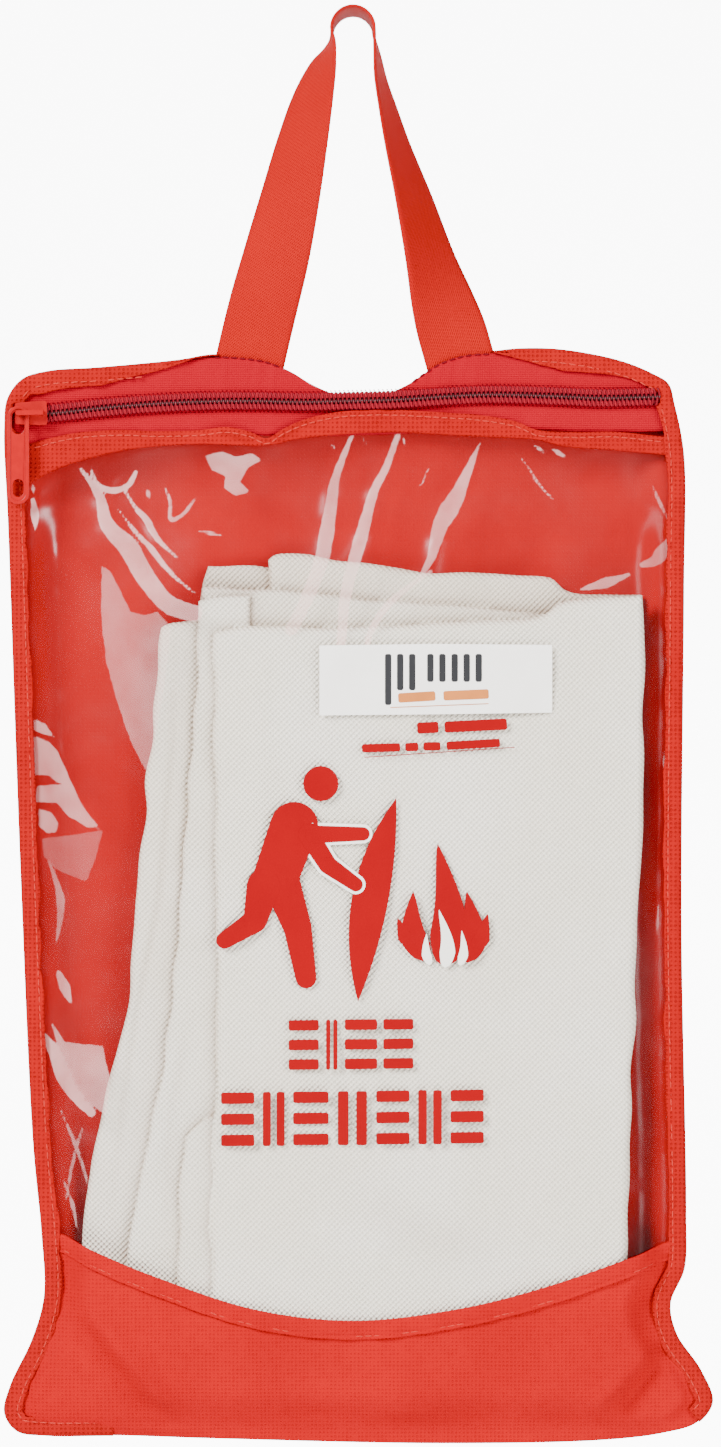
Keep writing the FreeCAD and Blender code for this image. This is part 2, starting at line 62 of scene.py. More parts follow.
BAND_TOP = [(-135.0, -153.0), (-115.2, -148.0), (-100.8, -144.6), (-85.0, -143.4), (-69.5, -143.8),
            (-55.0, -143.4), (-45.4, -142.4), (-37.0, -144.0), (-31.0, -146.4), (-25.6, -143.3),
            (-19.0, -140.2), (-7.2, -137.2), (6.0, -136.2), (15.8, -136.2), (33.8, -137.2),
            (45.7, -138.0), (59.0, -140.4), (66.2, -143.4), (80.0, -144.2), (93.6, -144.0),
            (111.6, -145.8), (135.0, -148.0)]
BAND_LOW = [(-135.0, -173.0), (-112.7, -160.6), (-105.5, -157.0), (-85.0, -151.2), (-69.5, -149.2),
            (-55.0, -148.4), (-31.0, -148.8), (-19.0, -146.4), (-7.2, -145.2), (15.8, -144.2),
            (45.7, -145.8), (66.2, -146.8), (75.6, -149.2), (92.5, -150.5), (111.6, -152.3),
            (135.0, -155.0)]
HEM_TOP = [(-135.0, -420.0), (-105.8, -432.2), (-73.0, -446.4), (-37.0, -458.4), (-1.0, -462.9),
           (35.0, -459.2), (71.0, -450.2), (107.0, -437.6), (135.0, -427.0)]
ZIP_START = np.array((-115.6, -137.5))
ZIP_SLOPE = math.radians(1.55)
ZIP_LENGTH = 225.2
ZIP_ARCH = [(-6.0, 0.0), (0.0, 0.0), (6.5, -0.1), (15.0, 0.5), (24.5, 1.3), (42.5, 2.3), (65.0, 2.7),
            (82.0, 2.3), (97.0, 1.6), (113.0, 1.5), (131.0, 1.5), (150.0, 2.2), (165.0, 2.4),
            (190.0, 1.1), (202.0, 0.2), (209.0, 0.0), (218.0, 0.0), (230.0, 0.0)]
SEAM = 0.8
BULGE = 8.0
BINDING_WIDTH = 6.6
CLOTH_THICK = 0.42
BINDING_FRONT = -2.55
BINDING_BACK = 1.92
SEAM_IN = 5.1
STITCH_FRONT = -2.66
STITCH_BACK = 2.02


def spline_points(places, n, closed=False):
    """n points along a smooth curve through the given ones, evenly spread."""
    p = np.array(places, float)
    if closed:
        p = np.vstack([p[-3:], p, p[:3]])
    t = np.r_[0, np.cumsum(np.linalg.norm(np.diff(p, axis=0), axis=1) ** 0.5)]
    slope = np.gradient(p, t, axis=0)
    fine = np.linspace(t[0], t[-1], n * 8)
    k = np.clip(np.searchsorted(t, fine, side="right") - 1, 0, len(t) - 2)
    h = (t[k + 1] - t[k])[:, None]
    u = ((fine - t[k])[:, None]) / h
    q = (
        (2 * u**3 - 3 * u**2 + 1) * p[k]
        + (u**3 - 2 * u**2 + u) * h * slope[k]
        + (-2 * u**3 + 3 * u**2) * p[k + 1]
        + (u**3 - u**2) * h * slope[k + 1]
    )
    if closed:
        keep = (fine >= t[3]) & (fine < t[-4] + (t[-3] - t[-4]))
        q = q[keep]
    along = np.r_[0, np.cumsum(np.linalg.norm(np.diff(q, axis=0), axis=1))]
    if closed:
        long = along[-1] + np.linalg.norm(q[0] - q[-1])
        want = np.linspace(0, long, n, endpoint=False)
        q = np.vstack([q, q[:1]])
        along = np.r_[along, long]
    else:
        want = np.linspace(0, along[-1], n)
    return np.stack([np.interp(want, along, q[:, i]) for i in range(q.shape[1])], 1)


OUTLINE = spline_points(EDGE, 2400, closed=True)


def normals_in(points):
    """Unit directions into the pouch at each point of its outline."""
    d = np.roll(points, -1, 0) - np.roll(points, 1, 0)
    d /= np.linalg.norm(d, axis=1)[:, None]
    return np.stack([-d[:, 1], d[:, 0]], 1)


INWARD = normals_in(OUTLINE)


def inset(distance):
    """The outline moved in by a distance."""
    return OUTLINE + INWARD * distance


# ---------------------------------------------------------------- meshes
def add_mesh(name, verts_mm, faces, mats, body=None, smooth=True, face_mats=None, uv=None):
    """A mesh object from vertices in mm."""
    mesh = bpy.data.meshes.new(name)
    v = np.asarray(verts_mm, float) * MM
    mesh.from_pydata(v.tolist(), [], [list(map(int, f)) for f in faces])
    mesh.validate()
    obj = bpy.data.objects.new(name, mesh)
    bpy.context.scene.collection.objects.link(obj)
    for m in mats if isinstance(mats, (list, tuple)) else [mats]:
        mesh.materials.append(m)
    if face_mats is not None:
        mesh.polygons.foreach_set("material_index", np.asarray(face_mats, np.int32))
    mesh.polygons.foreach_set("use_smooth", [smooth] * len(mesh.polygons))
    if uv is not None:
        layer = mesh.uv_layers.new(name="UVMap")
        loops = np.zeros(len(mesh.loops), np.int32)
        mesh.loops.foreach_get("vertex_index", loops)
        layer.data.foreach_set("uv", np.asarray(uv, np.float32)[loops].ravel())
    mesh.update()
    if body:
        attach(obj, body)
    return obj


def grid_faces(rows, cols, base=0, wrap=False, flip=False):
    """Quads over a grid of rows by cols vertices; wrap joins the last column to the first."""
    r, c = np.meshgrid(np.arange(rows - 1), np.arange(cols if wrap else cols - 1), indexing="ij")
    r, c = r.ravel(), c.ravel()
    n = (c + 1) % cols
    q = np.stack([r * cols + c, r * cols + n, (r + 1) * cols + n, (r + 1) * cols + c], 1) + base
    return q[:, ::-1] if flip else q


def two_sided(near, far):
    """Vertices and faces of a closed sheet from its near and far grids, each rows by cols by 3."""
    rows, cols = near.shape[:2]
    n = rows * cols
    verts = np.vstack([near.reshape(-1, 3), far.reshape(-1, 3)])
    faces = [grid_faces(rows, cols), grid_faces(rows, cols, n, flip=True)]
    rim = np.r_[
        np.arange(cols),
        np.arange(1, rows) * cols + cols - 1,
        (rows - 1) * cols + np.arange(cols - 2, -1, -1),
        np.arange(rows - 2, 0, -1) * cols,
    ]
    nxt = np.roll(rim, -1)
    faces.append(np.stack([nxt, rim, rim + n, nxt + n], 1))
    return verts, np.vstack(faces)


def tube_faces(rows, cols):
    """Faces of a closed tube of rings, with a flat face at each end."""
    faces = [list(f) for f in grid_faces(rows, cols, wrap=True)]
    return faces + [list(range(cols))[::-1], [(rows - 1) * cols + c for c in range(cols)]]


def keep_at_points(obj, name, values):
    """Keeps three numbers at each point of a mesh, for its material to read."""
    kept = obj.data.attributes.new(name, "FLOAT_VECTOR", "POINT")
    kept.data.foreach_set("vector", np.asarray(values, np.float32).ravel())


def ease(value, start, end):
    """0 up to the start, 1 from the end on, and a soft rise between them."""
    share = np.clip((value - start) / (end - start), 0, 1)
    return np.sin(share * math.pi / 2) ** 2


def run_z(run):
    """A run of places as a smooth function of x."""
    p = spline_points(run, 400)
    return lambda x: np.interp(x, p[:, 0], p[:, 1])


def side_functions(distance):
    """X of the left and the right side, this far inside the edge, as functions of height."""
    p = inset(distance)
    left = p[(p[:, 0] < -90) & (p[:, 1] < -126) & (p[:, 1] > -502)]
    right = p[(p[:, 0] > 90) & (p[:, 1] < -126) & (p[:, 1] > -499)]
    left = left[np.argsort(left[:, 1])]
    right = right[np.argsort(right[:, 1])]
    return ((lambda z: np.interp(z, left[:, 1], left[:, 0])),
            (lambda z: np.interp(z, right[:, 1], right[:, 0])))


def end_functions(distance):
    """Z of the bottom and the top edge, this far inside, as functions of x."""
    p = inset(distance)
    low = p[p[:, 1] < -494]
    top = p[p[:, 1] > -140]
    low = low[np.argsort(low[:, 0])]
    top = top[np.argsort(top[:, 0])]
    return (lambda x: np.interp(x, low[:, 0], low[:, 1])), (lambda x: np.interp(x, top[:, 0], top[:, 1]))


LEFT0, RIGHT0 = side_functions(0.0)


def patch(low, top, nx, nz, distance):
    """(x, z) grids over the pouch between two heights given as functions of x, and the sides this far in."""
    left, right = side_functions(distance)
    s, t = np.meshgrid(np.linspace(0, 1, nx), np.linspace(0, 1, nz))
    z = low(0.0) + (top(0.0) - low(0.0)) * t
    for _ in range(6):
        x = left(z) + (right(z) - left(z)) * s
        z = low(x) + (top(x) - low(x)) * t
    return x, z


def noise2(x, z, size, seed):
    """Smooth noise from -1 to 1, about size mm from one bump to the next."""
    r = np.random.default_rng(seed)
    total = np.zeros_like(x)
    for _ in range(10):
        angle = r.uniform(0, 2 * math.pi)
        k = 2 * math.pi / (size * r.uniform(0.7, 1.5))
        total += np.sin((x * math.cos(angle) + z * math.sin(angle)) * k + r.uniform(0, 6.3))
    return total / 10**0.5


def near_line(x, z, places):
    """Distance from a line through (x, z) places, how far along it from 0 to 1, and which side of it."""
    p = np.array(places, float)
    best = np.full(x.shape, 1e9)
    along = np.zeros_like(x)
    side = np.zeros_like(x)
    lengths = np.linalg.norm(np.diff(p, axis=0), axis=1)
    total = lengths.sum()
    done = 0.0
    for a, b, long in zip(p[:-1], p[1:], lengths):
        d = (b - a) / long
        u = np.clip((x - a[0]) * d[0] + (z - a[1]) * d[1], 0, long)
        px, pz = x - a[0] - d[0] * u, z - a[1] - d[1] * u
        dist = np.hypot(px, pz)
        better = dist < best
        best = np.where(better, dist, best)
        along = np.where(better, (done + u) / total, along)
        side = np.where(better, np.sign(d[0] * pz - d[1] * px), side)
        done += long
    return best, along, side


def fold_lines(x, z, lines, ends=0.05):
    """Height of folds that run along (places, width, height) lines and fade out towards both ends."""
    total = np.zeros_like(x)
    for places, wide, high in lines:
        dist, along, _ = near_line(x, z, places)
        total += high * np.exp(-((dist / wide) ** 2)) * np.sin(math.pi * np.clip(along, ends, 1 - ends))
    return total


def inside_of(x, z, places):
    """Distance in from a closed outline, negative outside it."""
    p = np.array(places + places[:1], float)
    dist, _, _ = near_line(x, z, p)
    inside = np.zeros(x.shape, bool)
    for a, b in zip(p[:-1], p[1:]):
        crosses = (a[1] > z) != (b[1] > z)
        with np.errstate(divide="ignore", invalid="ignore"):
            at = (b[0] - a[0]) * (z - a[1]) / (b[1] - a[1]) + a[0]
        inside ^= crosses & (x < at)
    return np.where(inside, dist, -dist)


def swell(x, z, rise):
    """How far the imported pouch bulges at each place; rise gives the heights between which it starts."""
    room = np.minimum(x - LEFT0(z), RIGHT0(z) - x) - BINDING_WIDTH
    return SEAM + BULGE * ease(room, 0.0, 12.0) * ease(z, *rise) * ease(z, -505.0, -487.0)


# ---------------------------------------------------------------- materials
class Shade:
    """A node material with a Principled shader, and short ways to add nodes to it."""

    def __init__(self, name, **fixed):
        self.m = bpy.data.materials.new(name)
        self.m.use_nodes = True
        self.t = self.m.node_tree
        self.bsdf = self.t.nodes["Principled BSDF"]
        for key, value in fixed.items():
            self.set(key, value)

    def set(self, key, value):
        self.bsdf.inputs[key.replace("_", " ")].default_value = value

    def new(self, kind, **settings):
        n = self.t.nodes.new("ShaderNode" + kind)
        for key, value in settings.items():
            setattr(n, key, value)
        return n

    def feed(self, node, key, value):
        if isinstance(value, bpy.types.NodeSocket):
            self.t.links.new(value, node.inputs[key])
        else:
            node.inputs[key].default_value = value

    def math(self, op, a, b=0.0, clamp=False):
        n = self.new("Math", operation=op, use_clamp=clamp)
        self.feed(n, 0, a)
        self.feed(n, 1, b)
        return n.outputs[0]

    def times(self, a, b, clamp=False):
        return self.math("MULTIPLY", a, b, clamp)

    def plus(self, a, b, clamp=False):
        return self.math("ADD", a, b, clamp)

    def ripple(self, value, period):
        """A sine wave along a value in mm, from -1 to 1."""
        return self.math("SINE", self.times(value, 2 * math.pi / period))

    def mm(self):
        """The object's own x, y and z in millimetres."""
        sep = self.new("SeparateXYZ")
        self.t.links.new(self.new("TexCoord").outputs["Object"], sep.inputs[0])
        return [self.times(sep.outputs[i], 1000.0) for i in range(3)]

    def named(self, name):
        """A value kept at each point of the mesh, as a vector's three parts."""
        n = self.new("Attribute", attribute_name=name)
        sep = self.new("SeparateXYZ")
        self.t.links.new(n.outputs["Vector"], sep.inputs[0])
        return sep.outputs

    def noise(self, size_mm, detail=2.0, rough=0.5, squeeze=None):
        n = self.new("TexNoise")
        vector = self.new("TexCoord").outputs["Object"]
        if squeeze:
            mapping = self.new("Mapping")
            self.t.links.new(vector, mapping.inputs["Vector"])
            mapping.inputs["Scale"].default_value = squeeze
            vector = mapping.outputs[0]
        self.t.links.new(vector, n.inputs["Vector"])
        self.feed(n, "Scale", 1000.0 / size_mm)
        self.feed(n, "Detail", detail)
        self.feed(n, "Roughness", rough)
        return n.outputs["Fac"]

    def smooth(self, value, low, high, to_low=0.0, to_high=1.0):
        n = self.new("MapRange", interpolation_type="SMOOTHSTEP")
        self.feed(n, "Value", value)
        self.feed(n, "From Min", low)
        self.feed(n, "From Max", high)
        self.feed(n, "To Min", to_low)
        self.feed(n, "To Max", to_high)
        return n.outputs[0]

    def mix(self, share, a, b):
        n = self.new("Mix", data_type="RGBA")
        self.feed(n, 0, share)
        for key, value in ((6, a), (7, b)):
            self.feed(n, key, value if isinstance(value, bpy.types.NodeSocket) else (*value[:3], 1.0))
        return n.outputs[2]

    def colour(self, value):
        if isinstance(value, bpy.types.NodeSocket):
            self.t.links.new(value, self.bsdf.inputs["Base Color"])
        else:
            self.bsdf.inputs["Base Color"].default_value = (*value[:3], 1.0)

    def bump(self, height, depth_mm, strength=1.0):
        n = self.new("Bump")
        self.feed(n, "Height", height)
        n.inputs["Distance"].default_value = depth_mm * MM
        n.inputs["Strength"].default_value = strength
        self.t.links.new(n.outputs[0], self.bsdf.inputs["Normal"])

    def lattice(self, a, b, pitch):
        """Peaks on a diamond lattice, from -1 to 1."""
        k = math.pi / pitch
        u = self.times(self.plus(a, b), k)
        v = self.times(self.math("SUBTRACT", a, b), k)
        return self.times(self.math("SINE", u), self.math("SINE", v))


def nonwoven(name, base, dot, pitch=1.3, rough=0.78, fibre=0.5, depth=0.22, pressed_dot_shade=0.45):
    """Spun-bonded cloth: a felt of fine fibres, pressed flat in a lattice of small dots, with painted shade
    in the pressed dots.
    """
    s = Shade(name, Roughness=rough, Specular_IOR_Level=0.03)
    x, _, z = s.mm()
    fibres = s.noise(0.9, 4.0, 0.7)
    blur = s.times(s.math("SUBTRACT", s.noise(3.2, 2.0, 0.5), 0.5), 1.6)
    spot = s.smooth(s.plus(s.lattice(x, z, pitch), blur), 0.25, 1.0)
    cloud = s.noise(34.0, 3.0, 0.55)
    tone = s.mix(s.smooth(cloud, 0.3, 0.7), [c * 0.93 for c in base], [min(1, c * 1.05) for c in base])
    tone = s.mix(s.times(s.smooth(fibres, 0.35, 0.75), fibre * 0.5), tone, dot)
    # Painted shade: the pressed dots are darkened as if shaded; their relief is the bump below.
    tone = s.mix(s.times(spot, pressed_dot_shade), tone, [c * 0.62 for c in base])
    s.colour(tone)
    s.bump(s.math("SUBTRACT", s.times(fibres, fibre), spot), depth)
    return s.m


def webbing_material():
    """Twill webbing: fine diagonal ribs, with plain selvedges."""
    s = Shade("webbing twill", Roughness=0.7, Specular_IOR_Level=0.04)
    along, across, _ = s.named("weave")
    twill = s.ripple(s.plus(along, s.times(across, 1.4)), 1.25)
    rib = s.ripple(across, 0.72)
    edge = s.smooth(s.math("ABSOLUTE", across), 10.9, 11.5)
    height = s.plus(s.times(twill, 0.6), s.times(rib, 0.35))
    shade = s.smooth(height, -0.9, 0.9)
    tone = s.mix(shade, (0.25, 0.001, 0.001), (0.42, 0.006, 0.003))
    tone = s.mix(s.times(s.noise(22.0, 2.0), 0.35), tone, (0.46, 0.009, 0.005))
    tone = s.mix(s.times(edge, 0.35), tone, (0.36, 0.003, 0.003))
    s.colour(tone)
    s.bump(height, 0.16)
    return s.m


def woven_tape_material():
    """Zip tape: a fine close weave with ribs along its length, painted lighter on the ribs and darker between
    them as light and shade.
    """
    s = Shade("zip tape weave", Roughness=0.6, Specular_IOR_Level=0.02)
    x, _, z = s.mm()
    rib = s.ripple(z, 0.8)
    weft = s.ripple(x, 0.65)
    height = s.plus(s.times(rib, 0.5), s.times(weft, 0.3))
    soft = s.noise(9.0, 3.0, 0.6, squeeze=(1.0, 1.0, 0.35))
    # Painted light and shade: the colour follows the weave's height, lighter on top and darker in the
    # hollows.
    tone = s.mix(s.smooth(height, -0.7, 0.7), (0.24, 0.000, 0.006), (0.34, 0.000, 0.010))
    tone = s.mix(s.times(soft, 0.4), tone, (0.40, 0.001, 0.013))
    s.colour(tone)
    s.bump(s.plus(height, s.times(soft, 1.5)), 0.12)
    return s.m


def plain(name, base, rough=0.4, spec=0.5, coat=0.0, vary=None, size=6.0, depth=0.0):
    """A material with one colour that wanders a little, for nylon, enamel, ink and the label."""
    s = Shade(name, Roughness=rough, Specular_IOR_Level=spec, Coat_Weight=coat, Coat_Roughness=0.15)
    wander = s.noise(size, 3.0, 0.6)
    s.colour(s.mix(s.smooth(wander, 0.3, 0.7), base, vary or [min(1, c * 1.12) for c in base]))
    if depth:
        s.bump(wander, depth)
    return s.m


def thread_material(name, base, light):
    """Twisted sewing thread."""
    s = Shade(name, Roughness=0.55, Specular_IOR_Level=0.08)
    x, _, z = s.mm()
    ply = s.ripple(s.plus(x, s.times(z, 1.3)), 0.5)
    s.colour(s.mix(s.smooth(ply, -1.0, 1.0), base, light))
    s.bump(ply, 0.05)
    return s.m


def glass_cloth_material():
    """Woven glass fibre: bright flat yarns over and under, off-white, with painted shade between the yarns,
    at the rims, in the creases, where plies meet and on the plies further back.
    """
    s = Shade("woven glass cloth", Roughness=0.6, Specular_IOR_Level=0.25)
    x, _, z = s.mm()
    # The kept fold values are painted shade: at the rims, in the creases and beside plies in front, and on
    # the plies further back.
    shade, depth, _ = s.named("fold")
    over = s.ripple(x, 2.0)
    weave = s.times(over, s.ripple(z, 2.0))
    fine = s.noise(0.8, 3.0, 0.65)
    stain = s.noise(60.0, 3.0, 0.55)
    tone = s.mix(s.smooth(stain, 0.35, 0.7), (0.91, 0.85, 0.71), (0.97, 0.92, 0.81))
    # Painted shade: the plies further back are darker.
    tone = s.mix(s.times(depth, 0.55), tone, (0.72, 0.58, 0.44))
    # Painted shade in the gaps between the yarns.
    gap = s.smooth(weave, -0.6, 0.35, 1.0, 0.0)
    tone = s.mix(s.times(gap, 0.45), tone, (0.44, 0.38, 0.28))
    tone = s.mix(s.times(fine, 0.15), tone, (0.99, 0.96, 0.88))
    # Painted shade at the rims, in the creases and where one ply meets another.
    tone = s.mix(s.times(shade, 0.75, clamp=True), tone, (0.30, 0.19, 0.13))
    s.colour(tone)
    s.bump(s.plus(s.times(weave, 0.9), s.times(fine, 0.25)), 0.42)
    return s.m


def film_material():
    """Clear film: mostly seen through and glossy, with painted highlights and painted glare in white at the
    places kept on its points.
    """
    # The Principled part is the colour of the painted highlights and glare, a pinkish white, mixed in where
    # the kept marks say.
    s = Shade("clear film", Base_Color=(1.0, 0.60, 0.57, 1.0), Roughness=0.30, Specular_IOR_Level=0.5)
    field, soft, power = s.named("painted_glare_marks")
    clear = s.new("BsdfTransparent")
    clear.inputs["Color"].default_value = (0.99, 0.985, 0.985, 1.0)
    gloss = s.new("BsdfAnisotropic")
    gloss.inputs["Color"].default_value = (1.0, 1.0, 1.0, 1.0)
    gloss.inputs["Roughness"].default_value = 0.26
    fine = s.noise(9.0, 3.0, 0.6)
    bump = s.new("Bump")
    s.feed(bump, "Height", fine)
    bump.inputs["Distance"].default_value = 0.22 * MM
    bump.inputs["Strength"].default_value = 0.4
    s.t.links.new(bump.outputs[0], gloss.inputs["Normal"])
    slant = s.new("LayerWeight")
    slant.inputs["Blend"].default_value = 0.5
    s.t.links.new(bump.outputs[0], slant.inputs["Normal"])
    shine = s.plus(s.times(s.math("POWER", slant.outputs["Facing"], 5.0), 0.6), 0.014)
    torn = s.times(s.math("SUBTRACT", s.noise(5.0, 4.0, 0.65), 0.5), 0.30)
    # Painted highlights: crisp white shapes at the places kept on the film's points.
    crisp = s.smooth(s.plus(field, torn), 0.44, 0.56)
    painted_highlight = s.times(crisp, s.times(power, 0.58))
    inner = s.times(painted_highlight, s.smooth(s.noise(12.0, 3.0, 0.5), 0.25, 0.7, 0.75, 1.15))
    # Painted glare: soft white clouds where the kept glare amount is high.
    cloud = s.times(soft, s.smooth(s.noise(20.0, 4.0, 0.6), 0.3, 0.7, 0.02, 0.10))
    # A faint white wash that wanders at random over the whole film.
    faint_white_noise = s.smooth(s.noise(46.0, 4.0, 0.6), 0.45, 0.8, 0.0, 0.02)
    painted_glare_and_noise = s.plus(s.plus(inner, cloud), faint_white_noise, clamp=True)
    veil = s.new("MixShader")
    s.feed(veil, 0, painted_glare_and_noise)
    s.t.links.new(clear.outputs[0], veil.inputs[1])
    s.t.links.new(s.bsdf.outputs[0], veil.inputs[2])
    whole = s.new("MixShader")
    s.feed(whole, 0, shine)
    s.t.links.new(veil.outputs[0], whole.inputs[1])
    s.t.links.new(gloss.outputs[0], whole.inputs[2])
    s.t.links.new(whole.outputs[0], s.t.nodes["Material Output"].inputs["Surface"])
    return s.m


M_PANEL = nonwoven("back panel nonwoven", (0.31, 0.002, 0.003), (0.33, 0.004, 0.004), 1.5, fibre=0.1,
                   depth=0.02, pressed_dot_shade=0.08)
M_LOWER = nonwoven("lower panel nonwoven", (0.36, 0.001, 0.003), (0.39, 0.003, 0.005), 1.4, 0.62,
                   fibre=0.3, depth=0.18, pressed_dot_shade=0.28)
M_BINDING = nonwoven("binding nonwoven", (0.31, 0.003, 0.003), (0.41, 0.009, 0.007), 1.6, depth=0.34,
                     pressed_dot_shade=0.5)
M_WEB = webbing_material()
M_TAPE = woven_tape_material()
M_COIL = plain("zip coil nylon", (0.045, 0.005, 0.007), 0.3, 0.4, vary=(0.070, 0.007, 0.011))
M_COIL_WRAP = plain("wrapped coil turns", (0.12, 0.000, 0.005), 0.45, 0.12, vary=(0.16, 0.001, 0.007))
M_COIL_THREAD = thread_material("coil thread", (0.25, 0.003, 0.012), (0.34, 0.007, 0.020))
M_ENAMEL = plain("red enamel", (0.32, 0.001, 0.003), 0.38, 0.12, coat=0.06, size=3.0, depth=0.02)
M_THREAD = thread_material("binding thread", (0.45, 0.012, 0.009), (0.56, 0.04, 0.03))
M_DARK_THREAD = thread_material("dark thread", (0.12, 0.001, 0.005), (0.17, 0.002, 0.008))
M_CLOTH = glass_cloth_material()
M_FILM = film_material()
M_INK = plain("red ink", (0.24, 0.000, 0.003), 0.4, 0.04, vary=(0.26, 0.000, 0.003), size=20.0)
M_WHITE_INK = plain("white ink", (0.86, 0.83, 0.76), 0.5, 0.1, vary=(0.90, 0.87, 0.80), size=20.0)
M_STICKER = plain("label face", (0.93, 0.89, 0.84), 0.4, 0.3, vary=(0.95, 0.92, 0.87), size=15.0)
M_DARK_INK = plain("grey ink", (0.018, 0.018, 0.020), 0.4, 0.3, size=10.0)
M_AMBER_INK = plain("amber ink", (0.48, 0.15, 0.03), 0.4, 0.3, size=10.0)


# ---------------------------------------------------------------- webbing handle
def strap_stations():
    """Places along the webbing as x, z and its twist in degrees."""
    left = [(-39.2, -127.0, 0.0), (-37.2, -119.0, 0.0), (-35.4, -111.2, 0.5), (-32.2, -98.0, 5.0),
            (-28.0, -82.0, 15.0), (-22.8, -60.0, 30.0), (-18.4, -40.0, 42.0), (-14.6, -24.0, 53.0),
            (-11.0, -12.0, 66.0), (-8.4, -5.0, 80.0)]
    bend = [(-7.7 * math.cos(math.radians(a)), 7.7 * math.sin(math.radians(a)), 90.0)
            for a in range(0, 181, 15)]
    right = [(8.8, -7.0, 85.0), (10.2, -17.0, 79.0), (12.6, -27.0, 74.0), (16.0, -40.0, 68.0),
             (22.0, -60.0, 57.0), (28.0, -82.0, 43.0), (32.6, -98.0, 22.0), (36.6, -111.2, 1.0),
             (38.8, -119.0, 0.0), (41.2, -127.0, 0.0)]
    return spline_points(left + bend + right, 420)


def webbing():
    """The webbing from one sewn end over the top to the other, with its length."""
    st = strap_stations()
    d = np.gradient(st[:, :2], axis=0)
    d /= np.linalg.norm(d, axis=1)[:, None]
    out = np.stack([-d[:, 1], d[:, 0]], 1)
    along = np.r_[0, np.cumsum(np.linalg.norm(np.diff(st[:, :2], axis=0), axis=1))]
    half, thick = 12.45, 0.6
    across = np.r_[np.linspace(-half, half, 15)]
    edge = np.clip((half - np.abs(across)) / 0.8, 0, 1)
    face = (thick * (0.55 + 0.45 * np.sin(edge * math.pi / 2))
            + 0.12 * np.exp(-(((np.abs(across) - 11.6) / 0.5) ** 2)))
    ring_a = np.r_[across, across[::-1]]
    ring_n = np.r_[face, -face[::-1]]
    rings = []
    weave = []
    for i, (x, z, twist) in enumerate(st):
        t = math.radians(twist)
        o = np.array((out[i, 0], 0.0, out[i, 1]))
        y = np.array((0.0, 1.0, 0.0))
        wide = o * math.cos(t) + y * math.sin(t)
        thin = o * math.sin(t) - y * math.cos(t)
        cup = 0.35 * math.sin(along[i] / 37.0) * (1 - (ring_a / half) ** 2)
        hold = min(1.0, max(0.0, (z + 112.0) / 10.0))
        centre = np.array((x, 0.0, z))
        rings.append(centre + ring_a[:, None] * wide + (ring_n + cup * hold)[:, None] * thin)
        weave += [(along[i], a, 0.0) for a in ring_a]
    verts = np.array(rings).reshape(-1, 3)
    obj = add_mesh("handle_strap", verts, tube_faces(len(rings), len(ring_a)), M_WEB)
    keep_at_points(obj, "weave", weave)
    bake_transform(obj)
    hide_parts("handle_webbing", "handle_end_left", "handle_end_right")
    return obj, along[-1]


STRAP, STRAP_LENGTH = webbing()


# ---------------------------------------------------------------- surfaces of the pouch
def zip_arch(u):
    """How far the cloth's slack lifts the zip off its straight line, along the zip."""
    p = spline_points(ZIP_ARCH, 300)
    return np.interp(u, p[:, 0], p[:, 1])


def zip_z(x):
    """Height of the zip's centre line."""
    return ZIP_START[1] + (x - ZIP_START[0]) * math.tan(ZIP_SLOPE) + zip_arch(x - ZIP_START[0])


def creases(x, z):
    """Folds in the cloth beside the two waists and along the bottom corners, raised or sunk."""
    return fold_lines(x, z, [
        ([(-99.4, -455.0), (-88.2, -467.3), (-76.7, -480.2), (-66.6, -492.5), (-60.5, -502.6)], 4.0, 1.9),
        ([(-101.9, -458.6), (-91.8, -473.0), (-81.0, -487.4), (-73.1, -501.1)], 2.6, -1.1),
        ([(-103.3, -456.5), (-108.4, -470.9), (-112.7, -485.3), (-114.8, -498.2)], 3.2, 1.2),
        ([(114.1, -462.2), (106.9, -472.3), (96.1, -485.3), (81.7, -501.5)], 4.4, 2.0),
        ([(115.6, -467.3), (109.1, -480.2), (99.7, -492.5), (93.2, -501.1)], 2.6, -1.1),
        ([(116.3, -464.4), (117.7, -478.1), (122.0, -491.0)], 3.0, 1.1),
        ([(-94.7, -501.1), (-73.1, -502.6), (-49.7, -503.3)], 1.6, 0.9),
    ])


CORNER_FOLDS = [((-99.0, -452.0), (-60.0, -503.0), -1), ((116.0, -458.0), (80.0, -503.0), 1)]


def fallen_in(x, z):
    """How far the cloth sinks back below the fold lines that run from the waists to the bottom edge."""
    share = np.zeros_like(x)
    for (x0, z0), (x1, z1), side in CORNER_FOLDS:
        line_x = x0 + (z - z0) * (x1 - x0) / (z1 - z0)
        past = side * (x - line_x) * abs(z1 - z0) / math.hypot(x1 - x0, z1 - z0)
        share = np.maximum(share, ease(past, -1.0, 9.0) * ease(z, -448.0, -462.0))
    return share


def front_y(x, z):
    """Y of the front surface, with the slack of the real cloth."""
    base = swell(x, z, (-160.0, -192.0))
    base = base - np.maximum(base - 3.2, 0.0) * 0.8 * fallen_in(x, z)
    loose = ease(base, 1.2, 5.0)
    return -(base + loose * 0.5 * noise2(x, z, 60.0, 3) + creases(x, z))


